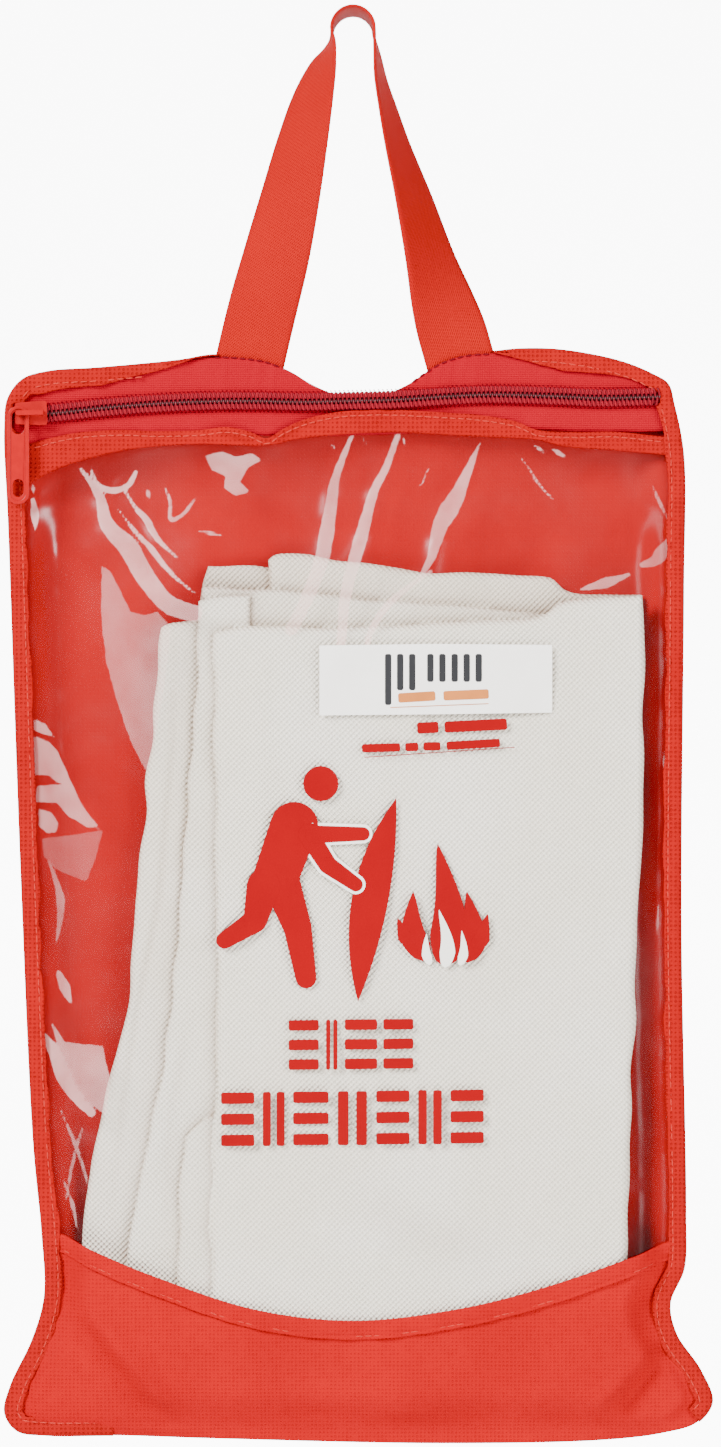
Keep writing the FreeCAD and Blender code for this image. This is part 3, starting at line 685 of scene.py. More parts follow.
def back_y(x, z):
    """Y of the back surface, with its own soft folds."""
    base = swell(x, z, (-131.0, -166.0))
    loose = ease(base, 1.2, 5.0)
    folds = fold_lines(x, z, [
        ([(-95.0, -150.0), (-60.0, -210.0), (-52.0, -300.0)], 9.0, 1.4),
        ([(90.0, -146.0), (60.0, -200.0), (30.0, -230.0)], 8.0, 1.3),
        ([(-20.0, -136.0), (-8.0, -176.0), (4.0, -230.0)], 6.0, 1.2),
        ([(-104.0, -452.0), (-70.0, -478.0), (-50.0, -500.0)], 8.0, 1.4),
        ([(106.0, -452.0), (84.0, -470.0), (60.0, -500.0)], 8.0, 1.4),
        ([(20.0, -300.0), (60.0, -380.0), (64.0, -450.0)], 14.0, 1.0),
        ([(-90.0, -330.0), (-40.0, -372.0), (20.0, -430.0)], 12.0, 0.9),
    ], ends=0.0)
    return base + loose * (0.5 * noise2(x, z, 48.0, 11) + folds)


def sheet_grid(x, z, surface, near, far, extra=None):
    """The two faces of a sheet that lies on a surface, near and far off it along Y."""
    y = surface(x, z)
    move = 0 if extra is None else extra
    a = np.stack([x, y + near + move, z], -1)
    b = np.stack([x, y + far + move, z], -1)
    return a, b


def cloth_sheet(name, low, top, nx, nz, distance, surface, span, mat, node, extra=None):
    """A flat-cut piece sewn into the pouch, as a thin closed sheet."""
    x, z = patch(low, top, nx, nz, distance)
    a, b = sheet_grid(x, z, surface, span[0], span[1], None if extra is None else extra(x, z))
    verts, faces = two_sided(a, b)
    obj = add_mesh(name, verts, faces, mat, "pouch")
    if node:
        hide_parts(node)
    return obj


low_in, top_in = end_functions(1.0)
band_low, band_top, hem_top = run_z(BAND_LOW), run_z(BAND_TOP), run_z(HEM_TOP)

BACK_PANEL = cloth_sheet("back_cloth", low_in, top_in, 130, 200, 1.0, back_y, (0.05, 0.50), M_PANEL,
                         "back_panel")


def tape_pucker(x, z):
    """Small pleats in the upper tape where the handle's ends are sewn over it."""
    d = np.zeros_like(x)
    for cx in (27.0, 31.5, 35.0, 40.0, 44.0, -46.0, -28.0, -33.5):
        d -= 0.28 * np.exp(-(((x - cx - (z + 120) * 0.2) / 1.1) ** 2)) * ease(z, -134.0, -122.0)
    return d - 0.12 * (1 + noise2(x, z, 14.0, 21)) * ease(z, -136.0, -126.0)


TAPE_SPAN = (-0.45, -0.06)
cloth_sheet("zip_tape_top", lambda x: zip_z(x) + 0.4, top_in, 200, 16, 1.0, front_y, TAPE_SPAN,
            M_TAPE, "zip_tape_upper", tape_pucker)
cloth_sheet("zip_tape_bottom", lambda x: zip_z(x) - 12.3, lambda x: zip_z(x) - 0.4, 120, 8, 1.2,
            front_y, TAPE_SPAN, M_TAPE, "zip_tape_lower")


def band_wave(x, z):
    """Folds and fine waves of the strip between the zip and the film."""
    up = ease(z, band_low(x), band_top(x))
    d = -fold_lines(x, z, [
        ([(-53.3, -144.0), (-46.1, -142.2), (-40.7, -145.4), (-32.8, -147.6)], 2.2, 1.3),
        ([(-47.2, -143.3), (-43.6, -146.9), (-38.5, -148.3)], 1.3, -0.9),
        ([(-32.8, -147.6), (-27.7, -145.4), (-20.5, -139.7), (-8.3, -136.8)], 2.4, 1.1),
        ([(63.7, -142.6), (70.2, -145.4), (79.9, -149.0), (88.9, -149.8)], 2.2, 1.2),
        ([(60.1, -139.7), (65.5, -144.7), (70.2, -148.3)], 1.4, -0.8),
        ([(16.9, -134.6), (27.7, -136.1), (42.1, -139.0)], 2.6, 0.9),
        ([(-19.1, -138.2), (2.5, -136.1), (16.9, -137.5)], 3.0, 0.6),
        ([(-94.7, -149.0), (-83.9, -151.2), (-73.1, -148.3)], 2.4, 0.7),
        ([(96.1, -148.3), (106.9, -149.8), (112.0, -151.2)], 2.2, 0.6),
    ], ends=0.08)
    return d - 0.22 * (1 + noise2(x, z, 9.0, 31)) * (0.3 + 0.7 * up)


BAND = cloth_sheet("window_top_band", band_low, band_top, 220, 12, 1.3, front_y, (-1.15, -0.65), M_BINDING,
                   "window_band", band_wave)


def lower_panel():
    """The panel across the bottom of the front, turned round the pouch's lower edge to the back."""
    x, z = patch(low_in, hem_top, 170, 60, 1.0)
    y = front_y(x, z) - 0.60
    near = np.stack([x, y, z], -1)
    x0, z0 = x[0], z[0]
    start, end = y[0], back_y(x0, z0) + 0.0
    turn = []
    for k in range(7, 0, -1):
        a = k / 7
        yy = start + (end - start) * (1 - math.cos(a * math.pi)) / 2
        turn.append(np.stack([x0, yy, z0 - 0.75 * math.sin(a * math.pi)], -1))
    near = np.concatenate([np.array(turn), near])
    up = np.gradient(near, axis=0)
    side = np.gradient(near, axis=1)
    normal = np.cross(side, up)
    normal /= np.linalg.norm(normal, axis=2)[:, :, None] + 1e-9
    inside = near - normal * 0.45
    verts, faces = two_sided(near, inside)
    obj = add_mesh("lower_front_cloth", verts, faces, M_LOWER, "pouch")
    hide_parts("lower_panel")
    return obj


LOWER = lower_panel()


def hem():
    """The folded hem: a flat strip whose upper edge is a soft fold."""
    x, t = np.meshgrid(np.linspace(0, 1, 180), np.linspace(0, 1, 12))
    left, right = side_functions(3.0)
    z = hem_top(0.0) - 6.6 * t
    for _ in range(6):
        x_mm = left(z) + (right(z) - left(z)) * x
        z = hem_top(x_mm) + 0.25 - 6.8 * t
    y = front_y(x_mm, z)
    wave = 0.20 * (1 + noise2(x_mm, z, 11.0, 41))
    dip = 0.42 * np.exp(-(((t - 0.80) / 0.10) ** 2))
    lift = 0.70 * np.sin(np.clip(t / 0.16, 0, 1) * math.pi / 2)
    near = np.stack([x_mm, y - 0.62 - lift - wave + dip, z], -1)
    far = np.stack([x_mm, y - 0.61 + 0 * z, z], -1)
    verts, faces = two_sided(near, far)
    obj = add_mesh("hem_fold", verts, faces, M_LOWER, "pouch")
    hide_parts("lower_hem")
    return obj


HEM = hem()


# ---------------------------------------------------------------- binding
def nearest_station(x, z):
    """The point of the outline that is nearest to a place."""
    return int(np.argmin(np.hypot(OUTLINE[:, 0] - x, OUTLINE[:, 1] - z)))


def stretch(start, end):
    """Stations of the edge from one place to another, the way the edge runs."""
    i, j = nearest_station(*start), nearest_station(*end)
    if j < i:
        j += len(OUTLINE)
    return np.arange(i, j + 1, 2) % len(OUTLINE)


def notch(x, z):
    """1 beside the slider's resting place, where the front of the binding is cut back."""
    w = np.abs(z - zip_z(x))
    return (1 - ease(w, 5.2, 6.4)) * (x < -100)


def binding(name, node, start, end, seed, widths=None):
    """Tape folded over the edge, from one place of the edge to another; widths give (x, width) pairs."""
    ids = stretch(start, end)
    p, n = OUTLINE[ids], INWARD[ids]
    along = np.r_[0, np.cumsum(np.linalg.norm(np.diff(p, axis=0), axis=1))]
    wob = 0.28 * noise2(along, along * 0, 17.0, seed) + 0.12 * noise2(along, along * 0, 5.0, seed + 1)
    puff = 0.16 * noise2(along, along * 0, 9.0, seed + 2)
    rings = []
    for k in range(len(ids)):
        x, z = p[k]
        cut = notch(x, z)
        reach = (BINDING_WIDTH + wob[k]) * (1 - cut) + 3.0 * cut
        if widths is not None:
            reach = np.interp(x, *zip(*widths)) + 0.5 * wob[k]
        front = BINDING_FRONT - puff[k]
        back = BINDING_BACK + puff[k] * 0.6
        mid, rad = (front + back) / 2, (back - front) / 2
        roll = min(1.5, reach * 0.7)
        outer = [(reach, front + 0.10), (reach * 0.94, front - 0.02), (reach * 0.75, front - 0.06),
                 (reach * 0.5, front), (reach * 0.5 * (1 - roll / 3.0) + roll * 0.5, front)]
        outer += [(roll - roll * math.cos(math.radians(a)), mid - rad * math.sin(math.radians(a)))
                  for a in (60, 35, 12, -12, -35, -60)]
        outer += [(2.2, back), (BINDING_WIDTH * 0.5, back), (BINDING_WIDTH * 0.8, back),
                  (BINDING_WIDTH + wob[k] * 0.8, back - 0.08)]
        inner = [(d + (0.0 if abs(y - mid) > rad * 0.95 else CLOTH_THICK),
                  y - math.copysign(CLOTH_THICK, y - mid)) for d, y in outer[::-1]]
        ring = []
        for d, y in outer + inner:
            ring.append((x + n[k, 0] * d, y, z + n[k, 1] * d))
        rings.append(ring)
    rings = np.array(rings)
    faces = tube_faces(*rings.shape[:2])
    obj = add_mesh(name, rings.reshape(-1, 3), faces, M_BINDING, "pouch")
    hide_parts(node)


CORNER_LEFT, CORNER_RIGHT = (-118.6, -124.9), (115.4, -132.4)
LEFT_END, RIGHT_END = (-86.0, -505.3), (124.6, -500.2)
TOP_LEFT_WIDTHS = [(-122.0, 6.4), (-115.0, 7.8), (-91.0, 6.7), (-73.0, 3.7), (-64.0, 2.2), (-57.0, 1.0),
                   (-49.0, 0.6)]
TOP_RIGHT_WIDTHS = [(49.0, 0.6), (51.0, 0.9), (58.3, 3.9), (67.3, 6.3), (76.3, 7.8), (85.3, 7.2),
                    (94.3, 6.0), (103.3, 5.2), (116.0, 5.2)]
binding("side_binding_left", "binding_left", CORNER_LEFT, LEFT_END, 51)
binding("side_binding_right", "binding_right", RIGHT_END, CORNER_RIGHT, 54)
binding("top_binding_left", "binding_top_left", (-48.6, -116.0), (-121.0, -126.2), 57,
        widths=TOP_LEFT_WIDTHS)
binding("top_binding_right", "binding_top_right", (116.6, -138.0), (49.6, -114.8), 60,
        widths=TOP_RIGHT_WIDTHS)


def bottom_tape():
    """The tape over the bottom seam, on the back."""
    ids = stretch((-85.0, -505.3), (118.0, -502.8))
    p, n = OUTLINE[ids], INWARD[ids]
    rows = []
    for d in np.linspace(0.9, 6.6, 8):
        q = p + n * d
        rows.append(np.stack([q[:, 0], q[:, 1], np.full(len(q), d)], 1))
    rows = np.array(rows)
    x, z = rows[:, :, 0], rows[:, :, 1]
    y = back_y(x, z)
    lump = 0.12 * (1 + noise2(x, z, 10.0, 66))
    verts, faces = two_sided(np.stack([x, y + 0.56, z], -1), np.stack([x, y + 0.98 + lump, z], -1))
    obj = add_mesh("bottom_seam_tape", verts, faces, M_BINDING, "pouch")
    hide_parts("binding_bottom")


bottom_tape()


# ---------------------------------------------------------------- stitching
def stitch_shape():
    """One stitch lying along +X: a small spindle, 1 long."""
    rings = []
    for u, r in ((-0.5, 0.35), (-0.42, 0.75), (-0.2, 1.0), (0.2, 1.0), (0.42, 0.75), (0.5, 0.35)):
        rings.append([(u, r * math.cos(a), r * math.sin(a))
                      for a in np.linspace(0, 2 * math.pi, 6, endpoint=False)])
    faces = [list(f) for f in grid_faces(6, 6, wrap=True)] + [[5, 4, 3, 2, 1, 0], [30, 31, 32, 33, 34, 35]]
    return np.array(rings).reshape(-1, 3), faces


STITCH, STITCH_FACES = stitch_shape()


def stitches(name, node, rows, mat, pitch=3.1, length=2.5, wide=0.27, high=0.17, body="pouch"):
    """Rows of stitching; each row is a run of points in mm, spaced closely, with the way out of the cloth."""
    verts, faces = [], []
    for points, out in rows:
        points = np.asarray(points, float)
        along = np.r_[0, np.cumsum(np.linalg.norm(np.diff(points, axis=0), axis=1))]
        count = max(1, int(along[-1] // pitch))
        for k in range(count):
            s = (k + 0.5) * along[-1] / count
            centre = np.array([np.interp(s, along, points[:, i]) for i in range(3)])
            ahead = np.array([np.interp(s + 0.6, along, points[:, i]) for i in range(3)]) - np.array(
                [np.interp(s - 0.6, along, points[:, i]) for i in range(3)]
            )
            ahead /= np.linalg.norm(ahead) + 1e-9
            up = np.array((0.0, out, 0.0))
            side = np.cross(up, ahead)
            tilt = ahead + side * rng.uniform(-0.07, 0.07)
            tilt /= np.linalg.norm(tilt)
            side = np.cross(up, tilt)
            long = length * rng.uniform(0.92, 1.06)
            q = (centre + STITCH[:, :1] * long * tilt + STITCH[:, 1:2] * wide * side
                 + STITCH[:, 2:] * high * up)
            faces += [[f + len(verts) * len(STITCH) for f in face] for face in STITCH_FACES]
            verts.append(q)
    obj = add_mesh(name, np.vstack(verts), faces, mat, body)
    if node:
        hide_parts(node)
    return obj


def edge_row(start, end, distance, y):
    """Rows along the edge, broken beside the slider on the front."""
    ids = stretch(start, end)
    q = OUTLINE[ids] + INWARD[ids] * distance
    keep = notch(q[:, 0], q[:, 1]) < 0.5 if y < 0 else np.full(len(q), True)
    runs, run = [], []
    for ok, (x, z) in zip(keep, q):
        if ok:
            run.append((x, y, z))
        elif len(run) > 3:
            runs.append((run, math.copysign(1, y)))
            run = []
        else:
            run = []
    if len(run) > 3:
        runs.append((run, math.copysign(1, y)))
    return runs


for name, node, start, end in [
    ("seam_left", "stitching_left", (-119.0, -126.6), (-88.0, -505.3)),
    ("seam_right", "stitching_right", (125.8, -499.4), (115.8, -134.0)),
    ("seam_top_left", "stitching_top_left", (-76.0, -119.0), (-116.0, -124.4)),
    ("seam_top_right", "stitching_top_right", (111.0, -125.4), (64.0, -114.0)),
]:
    seam = edge_row(start, end, SEAM_IN, STITCH_FRONT) + edge_row(start, end, SEAM_IN, STITCH_BACK)
    stitches(name, node, seam, M_THREAD)


def bottom_row():
    """The row along the tape over the bottom seam."""
    ids = stretch((-82.0, -505.3), (114.0, -504.0))
    q = OUTLINE[ids] + INWARD[ids] * 4.9
    return [([(x, back_y(np.array(x), np.array(z)) + 1.22, z) for x, z in q], 1.0)]


stitches("seam_bottom", "stitching_bottom", bottom_row(), M_THREAD)


def front_row(height, x0, x1, lift, n=300, extra=None):
    """A row of stitching across the front, at a height that is a function of x."""
    x = np.linspace(x0, x1, n)
    z = height(x)
    move = 0 if extra is None else extra(x, z)
    return [(np.stack([x, front_y(x, z) - lift + move, z], 1), -1.0)]


stitches("seam_hem", "stitching_hem", front_row(lambda x: hem_top(x) - 5.3, -104.0, 108.0, 0.98),
         M_THREAD, 3.3, 2.7)
stitches("seam_band", "stitching_band",
         front_row(lambda x: band_top(x) - 1.9, -115.0, 111.0, 1.24, extra=band_wave), M_THREAD, 3.0, 2.4)


def handle_row(places):
    """The dark rows that hold one end of the handle, on the front and on the back."""
    p = spline_points(places, 80)
    x, z = p[:, 0], p[:, 1]
    front = (np.stack([x, front_y(x, z) - 0.58 + tape_pucker(x, z), z], 1), -1.0)
    back = (np.stack([x, back_y(x, z) + 0.60, z], 1), 1.0)
    return [front, back]


def edge_places(x0, x1, distance):
    """Places this far inside the top edge, from one x to another."""
    p = inset(distance)
    p = p[(p[:, 1] > -131) & (p[:, 0] > x0) & (p[:, 0] < x1)]
    return p[np.argsort(p[:, 0])][::12].tolist()


stitches("seam_handle_left", "stitching_handle_left",
         handle_row(edge_places(-50.5, -22.0, 1.2))
         + handle_row([(-50.5, -124.6), (-38.0, -124.4), (-27.0, -126.4)])[1:],
         M_DARK_THREAD, 2.9, 2.1, 0.38, 0.24)
stitches("seam_handle_right", "stitching_handle_right",
         handle_row(edge_places(21.0, 51.5, 1.2))
         + handle_row([(30.0, -126.6), (41.0, -124.2), (51.0, -123.0)])[1:],
         M_DARK_THREAD, 2.9, 2.1, 0.38, 0.24)


# ---------------------------------------------------------------- zip
def on_zip(u, y, w):
    """A point given along the zip, out from it and across it, in the row's frame."""
    c, s = math.cos(ZIP_SLOPE), math.sin(ZIP_SLOPE)
    return np.stack([ZIP_START[0] + u * c - w * s, y + 0 * u, ZIP_START[1] + u * s + w * c + zip_arch(u)],
                    -1)


TURN = 1.56


def coil(side):
    """One row of the coil: a flattened spiral of nylon whose bare heads reach across the centre line."""
    per_turn = 12
    u0, u1 = -3.5, ZIP_LENGTH
    t = np.arange(int((u1 - u0) / TURN * per_turn)) / per_turn
    a = t * 2 * math.pi
    u = u0 + (t + (0.5 if side > 0 else 0.0)) * TURN + 0.36 * np.sin(a)
    flat = np.sign(np.cos(a)) * np.abs(np.cos(a)) ** 0.8
    w = side * (1.30 + 1.75 * flat)
    y = -2.32 - 0.64 * np.sign(np.sin(a)) * np.abs(np.sin(a)) ** 0.8
    p = on_zip(u, y, w)
    d = np.gradient(p, axis=0)
    d /= np.linalg.norm(d, axis=1)[:, None]
    n1 = np.cross(d, on_zip(u + 1.0, y, w) - p)
    n1 /= np.linalg.norm(n1, axis=1)[:, None]
    n2 = np.cross(d, n1)
    ring = [p + 0.40 * (math.cos(b) * n1 + math.sin(b) * n2)
            for b in np.linspace(0, 2 * math.pi, 6, endpoint=False)]
    rings = np.array(ring).transpose(1, 0, 2)
    faces = tube_faces(*rings.shape[:2])
    wrapped = (np.abs(w[:-1]) > 1.15).astype(int)
    face_mats = np.r_[np.repeat(wrapped, len(ring)), 0, 0]
    name = "coil_turns_upper" if side > 0 else "coil_turns_lower"
    obj = add_mesh(name, rings.reshape(-1, 3), faces, [M_COIL, M_COIL_WRAP], "pouch", face_mats=face_mats)
    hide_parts("zip_coil_upper" if side > 0 else "zip_coil_lower")
    return obj


coil(1)
coil(-1)


def coil_cord(side):
    """The cord that runs along inside a coil row."""
    u = np.linspace(-3.0, ZIP_LENGTH - 0.4, 300)
    rings = []
    for a in np.linspace(0, 2 * math.pi, 8, endpoint=False):
        rings.append(on_zip(u, -2.25 + 0.52 * math.sin(a), side * (1.7 + 0.75 * math.cos(a))))
    rings = np.array(rings).transpose(1, 0, 2)
    faces = tube_faces(*rings.shape[:2])
    name = "coil_cord_upper" if side > 0 else "coil_cord_lower"
    return add_mesh(name, rings.reshape(-1, 3), faces, M_COIL_WRAP, "pouch")


coil_cord(1)
coil_cord(-1)


def coil_stitching(side):
    """The thread that holds a coil row to its tape: a loop over each turn, and small stitches beside it."""
    verts, faces = [], []
    base = 0
    count = int((ZIP_LENGTH - 1.5) / TURN)
    up = np.array((0.0, -1.0, 0.0))
    across = on_zip(0.0, 0.0, 1.0) - on_zip(0.0, 0.0, 0.0)
    for k in range(count):
        u = 0.9 + k * TURN + (TURN / 2 if side > 0 else 0.0)
        for mid, y, long, wide, high, lean in ((2.05, -2.98, 2.0, 0.44, 0.34, 0.16),
                                               (3.75, -1.42, 0.6, 0.20, 0.12, 1.2)):
            centre = on_zip(u, y, side * mid)
            ahead = across * math.cos(lean) + np.cross(up, across) * math.sin(lean)
            beside = np.cross(up, ahead)
            q = (centre + STITCH[:, :1] * long * ahead + STITCH[:, 1:2] * wide * beside
                 + STITCH[:, 2:] * high * up)
            faces += [[f + base for f in face] for face in STITCH_FACES]
            base += len(STITCH)
            verts.append(q)
    name = "coil_thread_upper" if side > 0 else "coil_thread_lower"
    mats = np.tile(np.repeat([0, 1], len(STITCH_FACES)), count)
    return add_mesh(name, np.vstack(verts), faces, [M_COIL_THREAD, M_DARK_THREAD], "pouch", face_mats=mats)


coil_stitching(1)
coil_stitching(-1)


def softened(name, node, mat, width, body):
    """A moulded piece: the fixed model's solid with its sharp edges rounded."""
    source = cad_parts[node]
    obj = bpy.data.objects.new(name, source.data.copy())
    bpy.context.scene.collection.objects.link(obj)
    obj.data.materials.clear()
    obj.data.materials.append(mat)
    weld = obj.modifiers.new("weld", "WELD")
    weld.merge_threshold = 0.00001
    bevel = obj.modifiers.new("bevel", "BEVEL")
    bevel.width = width * MM
    bevel.segments = 2
    bevel.limit_method = "ANGLE"
    bevel.angle_limit = math.radians(40)
    obj.data.polygons.foreach_set("use_smooth", [False] * len(obj.data.polygons))
    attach(obj, body)
    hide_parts(node)
    return obj


softened("slider_casting", "zip_slider", M_ENAMEL, 0.14, "slider")
softened("puller_casting", "zip_puller", M_ENAMEL, 0.12, "puller")


# ---------------------------------------------------------------- folded blanket
def edge_steps(n, fine=7):
    """Shares from 0 to 1, closer together at both ends so that a folded edge comes out round."""
    ends = 0.035 * (np.arange(fine) / fine) ** 1.6
    return np.r_[ends, np.linspace(0.035, 0.965, n), 1 - ends[::-1]]


def ply(left, right, top, low, near, far, seed, nx=90, nz=110, radius=2.6, slack=0.35, crease=None):
    """One folded thickness of cloth: side runs given by height, end runs by x, and its two faces along Y."""
    def by_z(places):
        p = np.array(sorted(spline_points(places, 200).tolist(), key=lambda q: q[1]))
        return lambda z: np.interp(z, p[:, 1], p[:, 0])

    left_x, right_x, top_z, low_z = by_z(left), by_z(right), run_z(top), run_z(low)
    s, t = np.meshgrid(edge_steps(nx), edge_steps(nz))
    z = low_z(0.0) + (top_z(0.0) - low_z(0.0)) * t
    for _ in range(8):
        x = left_x(z) + (right_x(z) - left_x(z)) * s
        z = low_z(x) + (top_z(x) - low_z(x)) * t
    wide = right_x(z) - left_x(z)
    tall = top_z(x) - low_z(x)
    room = np.minimum(np.minimum(s, 1 - s) * wide, np.minimum(t, 1 - t) * tall)
    share = np.clip(room / radius, 0, 1)
    round_off = np.sqrt(np.clip(1 - (1 - share) ** 2, 0, 1))
    mid, half = (near + far) / 2, (far - near) / 2
    wave = slack * noise2(x, z, 46.0, seed) + 0.35 * slack * noise2(x, z, 13.0, seed + 1)
    if crease is not None:
        wave = wave + crease(x, z)
    edge_wander = (1 - share) * 0.55 * noise2(x, z, 24.0, seed + 2)
    y_near = mid - half * round_off + wave * round_off
    y_far = mid + half * round_off + wave * round_off * 0.3
    x = x + edge_wander
    z = z + edge_wander * 0.6
    # Painted shade: darker in the valleys of the creases and towards the ply's rounded rim.
    sunk = 0.0 if crease is None else np.clip(crease(x, z), 0, 1.2) * 0.3
    painted_shade = 0.55 * np.exp(-room / 0.8) + sunk
    rim = np.r_[np.stack([x[0], z[0]], 1)[::6], np.stack([x[:, -1], z[:, -1]], 1)[::6],
                np.stack([x[-1], z[-1]], 1)[::-6], np.stack([x[:, 0], z[:, 0]], 1)[::-6]]
    return {"mesh": two_sided(np.stack([x, y_near, z], -1), np.stack([x, y_far, z], -1)),
            "x": x, "z": z, "painted_shade": painted_shade, "rim": rim, "near": near}


def front_creases(x, z):
    """Creases in the front ply of the blanket."""
    return fold_lines(x, z, [
        ([(73.4, -206.3), (72.7, -240.5), (71.6, -272.9), (73.1, -312.5)], 4.5, -0.55),
        ([(-38.5, -218.9), (-32.8, -262.1), (-37.1, -312.5)], 6.0, -0.5),
        ([(2.5, -218.9), (31.3, -262.1), (74.5, -305.3)], 3.0, -0.35),
        ([(16.9, -240.5), (52.9, -287.3), (88.9, -323.3)], 3.5, -0.3),
        ([(-8.3, -413.3), (24.1, -431.3), (60.1, -442.1)], 9.0, 0.6),
    ], ends=0.04)


def side_creases(x, z):
    """Creases in the plies that spread to the left."""
    return fold_lines(x, z, [
        ([(-63.0, -204.5), (-65.2, -262.1), (-69.5, -312.5), (-77.4, -352.1), (-83.2, -388.1),
          (-87.5, -436.7)], 1.5, 0.8),
        ([(-58.7, -218.9), (-60.8, -262.1), (-63.7, -312.5), (-65.9, -348.5)], 2.2, -0.9),
        ([(-67.7, -370.1), (-73.1, -406.1), (-76.7, -434.9)], 5.0, -1.2),
        ([(-58.0, -352.1), (-65.9, -391.7), (-68.0, -431.3)], 3.0, 0.9),
    ])


PLIES = [
    # the cut ends that stand up behind
    ply([(-51.8, -191.2), (-55.1, -201.6), (-55.4, -312.5)], [(-8.3, -190.1), (-8.3, -312.5)],
        [(-56.5, -192.2), (-42.1, -191.5), (-28.1, -193.0), (-4.7, -193.0)],
        [(-58.7, -276.5), (-4.7, -276.5)], 4.2, 6.6, 71, 40, 60, 1.2, 0.2),
    ply([(-31.3, -187.2), (-31.0, -194.4), (-29.9, -312.5), (-29.2, -456.5)],
        [(103.7, -200.9), (103.4, -240.5), (99.0, -312.5), (88.0, -456.5)],
        [(-32.8, -192.2), (-29.2, -188.6), (-24.8, -187.6), (-1.1, -190.1), (24.1, -194.0),
         (52.9, -195.1), (70.2, -196.6), (76.7, -200.9), (105.1, -202.7)],
        [(-32.8, -487.4), (105.1, -487.4)], 1.6, 7.7, 74, 80, 110, 2.6, 0.35),
    ply([(-55.1, -199.1), (-55.8, -218.9), (-56.2, -240.5), (-56.2, -487.4)],
        [(103.3, -200.9), (101.5, -280.0), (97.0, -360.0), (88.0, -487.4)],
        [(-56.5, -200.5), (-50.0, -199.8), (-19.1, -201.6), (9.0, -204.5), (42.1, -206.6), (72.0, -209.9),
         (105.1, -208.4)],
        [(-58.7, -485.3), (105.1, -485.3)], -2.2, 2.4, 77, 90, 110, 2.2, 0.3),
    # the folds that spread to the left
    ply([(-69.1, -211.7), (-70.2, -218.9), (-71.6, -240.8), (-74.2, -265.7), (-75.6, -284.0),
         (-78.8, -313.2), (-79.9, -333.4), (-81.0, -351.4), (-86.8, -373.7), (-94.0, -407.9),
         (-97.6, -434.2), (-96.8, -456.5)], [(-40.7, -204.5), (-40.7, -456.5)],
        [(-70.9, -215.3), (-66.6, -213.1), (-55.1, -211.0), (-38.9, -208.8)],
        [(-105.5, -442.8), (-87.5, -456.5), (-69.5, -472.7), (-38.9, -474.5)],
        -1.6, 4.3, 80, 70, 130, 2.4, 0.35, side_creases),
    ply([(-55.4, -204.5), (-56.5, -236.9), (-59.4, -276.5), (-62.3, -312.5), (-65.2, -348.5),
         (-69.5, -377.3), (-76.7, -413.3), (-81.0, -436.7), (-81.0, -456.5)],
        [(-37.1, -204.5), (-37.1, -456.5)], [(-58.7, -206.6), (-52.2, -203.8), (-35.3, -203.0)],
        [(-91.1, -452.9), (-73.1, -467.3), (-35.3, -474.5)],
        -4.6, -1.2, 83, 50, 130, 1.7, 0.45, side_creases),
    ply([(-60.1, -391.7), (-61.9, -413.3), (-62.6, -434.9), (-63.0, -460.1)],
        [(-40.7, -384.5), (-40.7, -460.1)],
        [(-63.7, -402.5), (-58.7, -395.3), (-50.8, -389.5), (-38.9, -387.4)],
        [(-65.9, -469.1), (-38.9, -472.7)], -6.4, -3.0, 86, 40, 50, 2.0, 0.3),
    # the packet in front
    ply([(-50.0, -211.0), (-50.0, -240.5), (-49.3, -298.1), (-49.0, -370.1), (-50.8, -406.1),
         (-51.1, -452.9), (-50.8, -492.5)],
        [(104.4, -200.9), (104.4, -247.7), (104.0, -286.6), (102.2, -318.2), (101.2, -349.9),
         (99.7, -392.0), (98.3, -441.0), (96.1, -492.5)],
        [(-53.3, -216.7), (-45.0, -214.9), (-38.5, -213.8), (-4.7, -214.2), (42.1, -212.0),
         (67.3, -210.2), (75.2, -205.2), (88.9, -203.8), (106.9, -202.3)],
        [(-55.1, -487.4), (103.3, -486.7)], -7.75, -0.4, 89, 130, 170, 3.4, 0.28, front_creases),
]


def outside(x, z, rim):
    """Distance to a ply's outline from the places outside it, and a large number inside it."""
    return np.where(inside_of(x, z, [tuple(p) for p in rim]) < 0,
                    near_line(x, z, np.vstack([rim, rim[:1]]))[0], 99.0)


def blanket():
    """All plies as one mesh, with painted shade where one ply meets another and on the plies further back."""
    verts, faces, folds, base = [], [], [], 0
    for k, one in enumerate(PLIES):
        v, f = one["mesh"]
        painted_shade = one["painted_shade"]
        for other in PLIES[k + 1:]:
            gap = outside(one["x"], one["z"], other["rim"])
            # Painted shadow on this ply beside the outline of each ply in front of it.
            painted_shade = painted_shade + 0.50 * np.exp(-gap / 1.3) + 0.22 * np.exp(-gap / 5.0)
        # Painted shade: the further back a ply lies, the darker it is painted.
        back_ply_shade = np.clip((one["near"] + 5.0) / 8.0, 0, 1)
        fold = np.stack([np.clip(painted_shade, 0, 1), np.full(painted_shade.shape, back_ply_shade), 0 * painted_shade], -1).reshape(-1, 3)
        verts.append(v)
        faces.append(f + base)
        folds += [fold, fold]
        base += len(v)
    obj = add_mesh("folded_blanket", np.vstack(verts), np.vstack(faces), M_CLOTH, "blanket")
    keep_at_points(obj, "fold", np.vstack(folds))
    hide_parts("blanket")
    return obj


blanket()


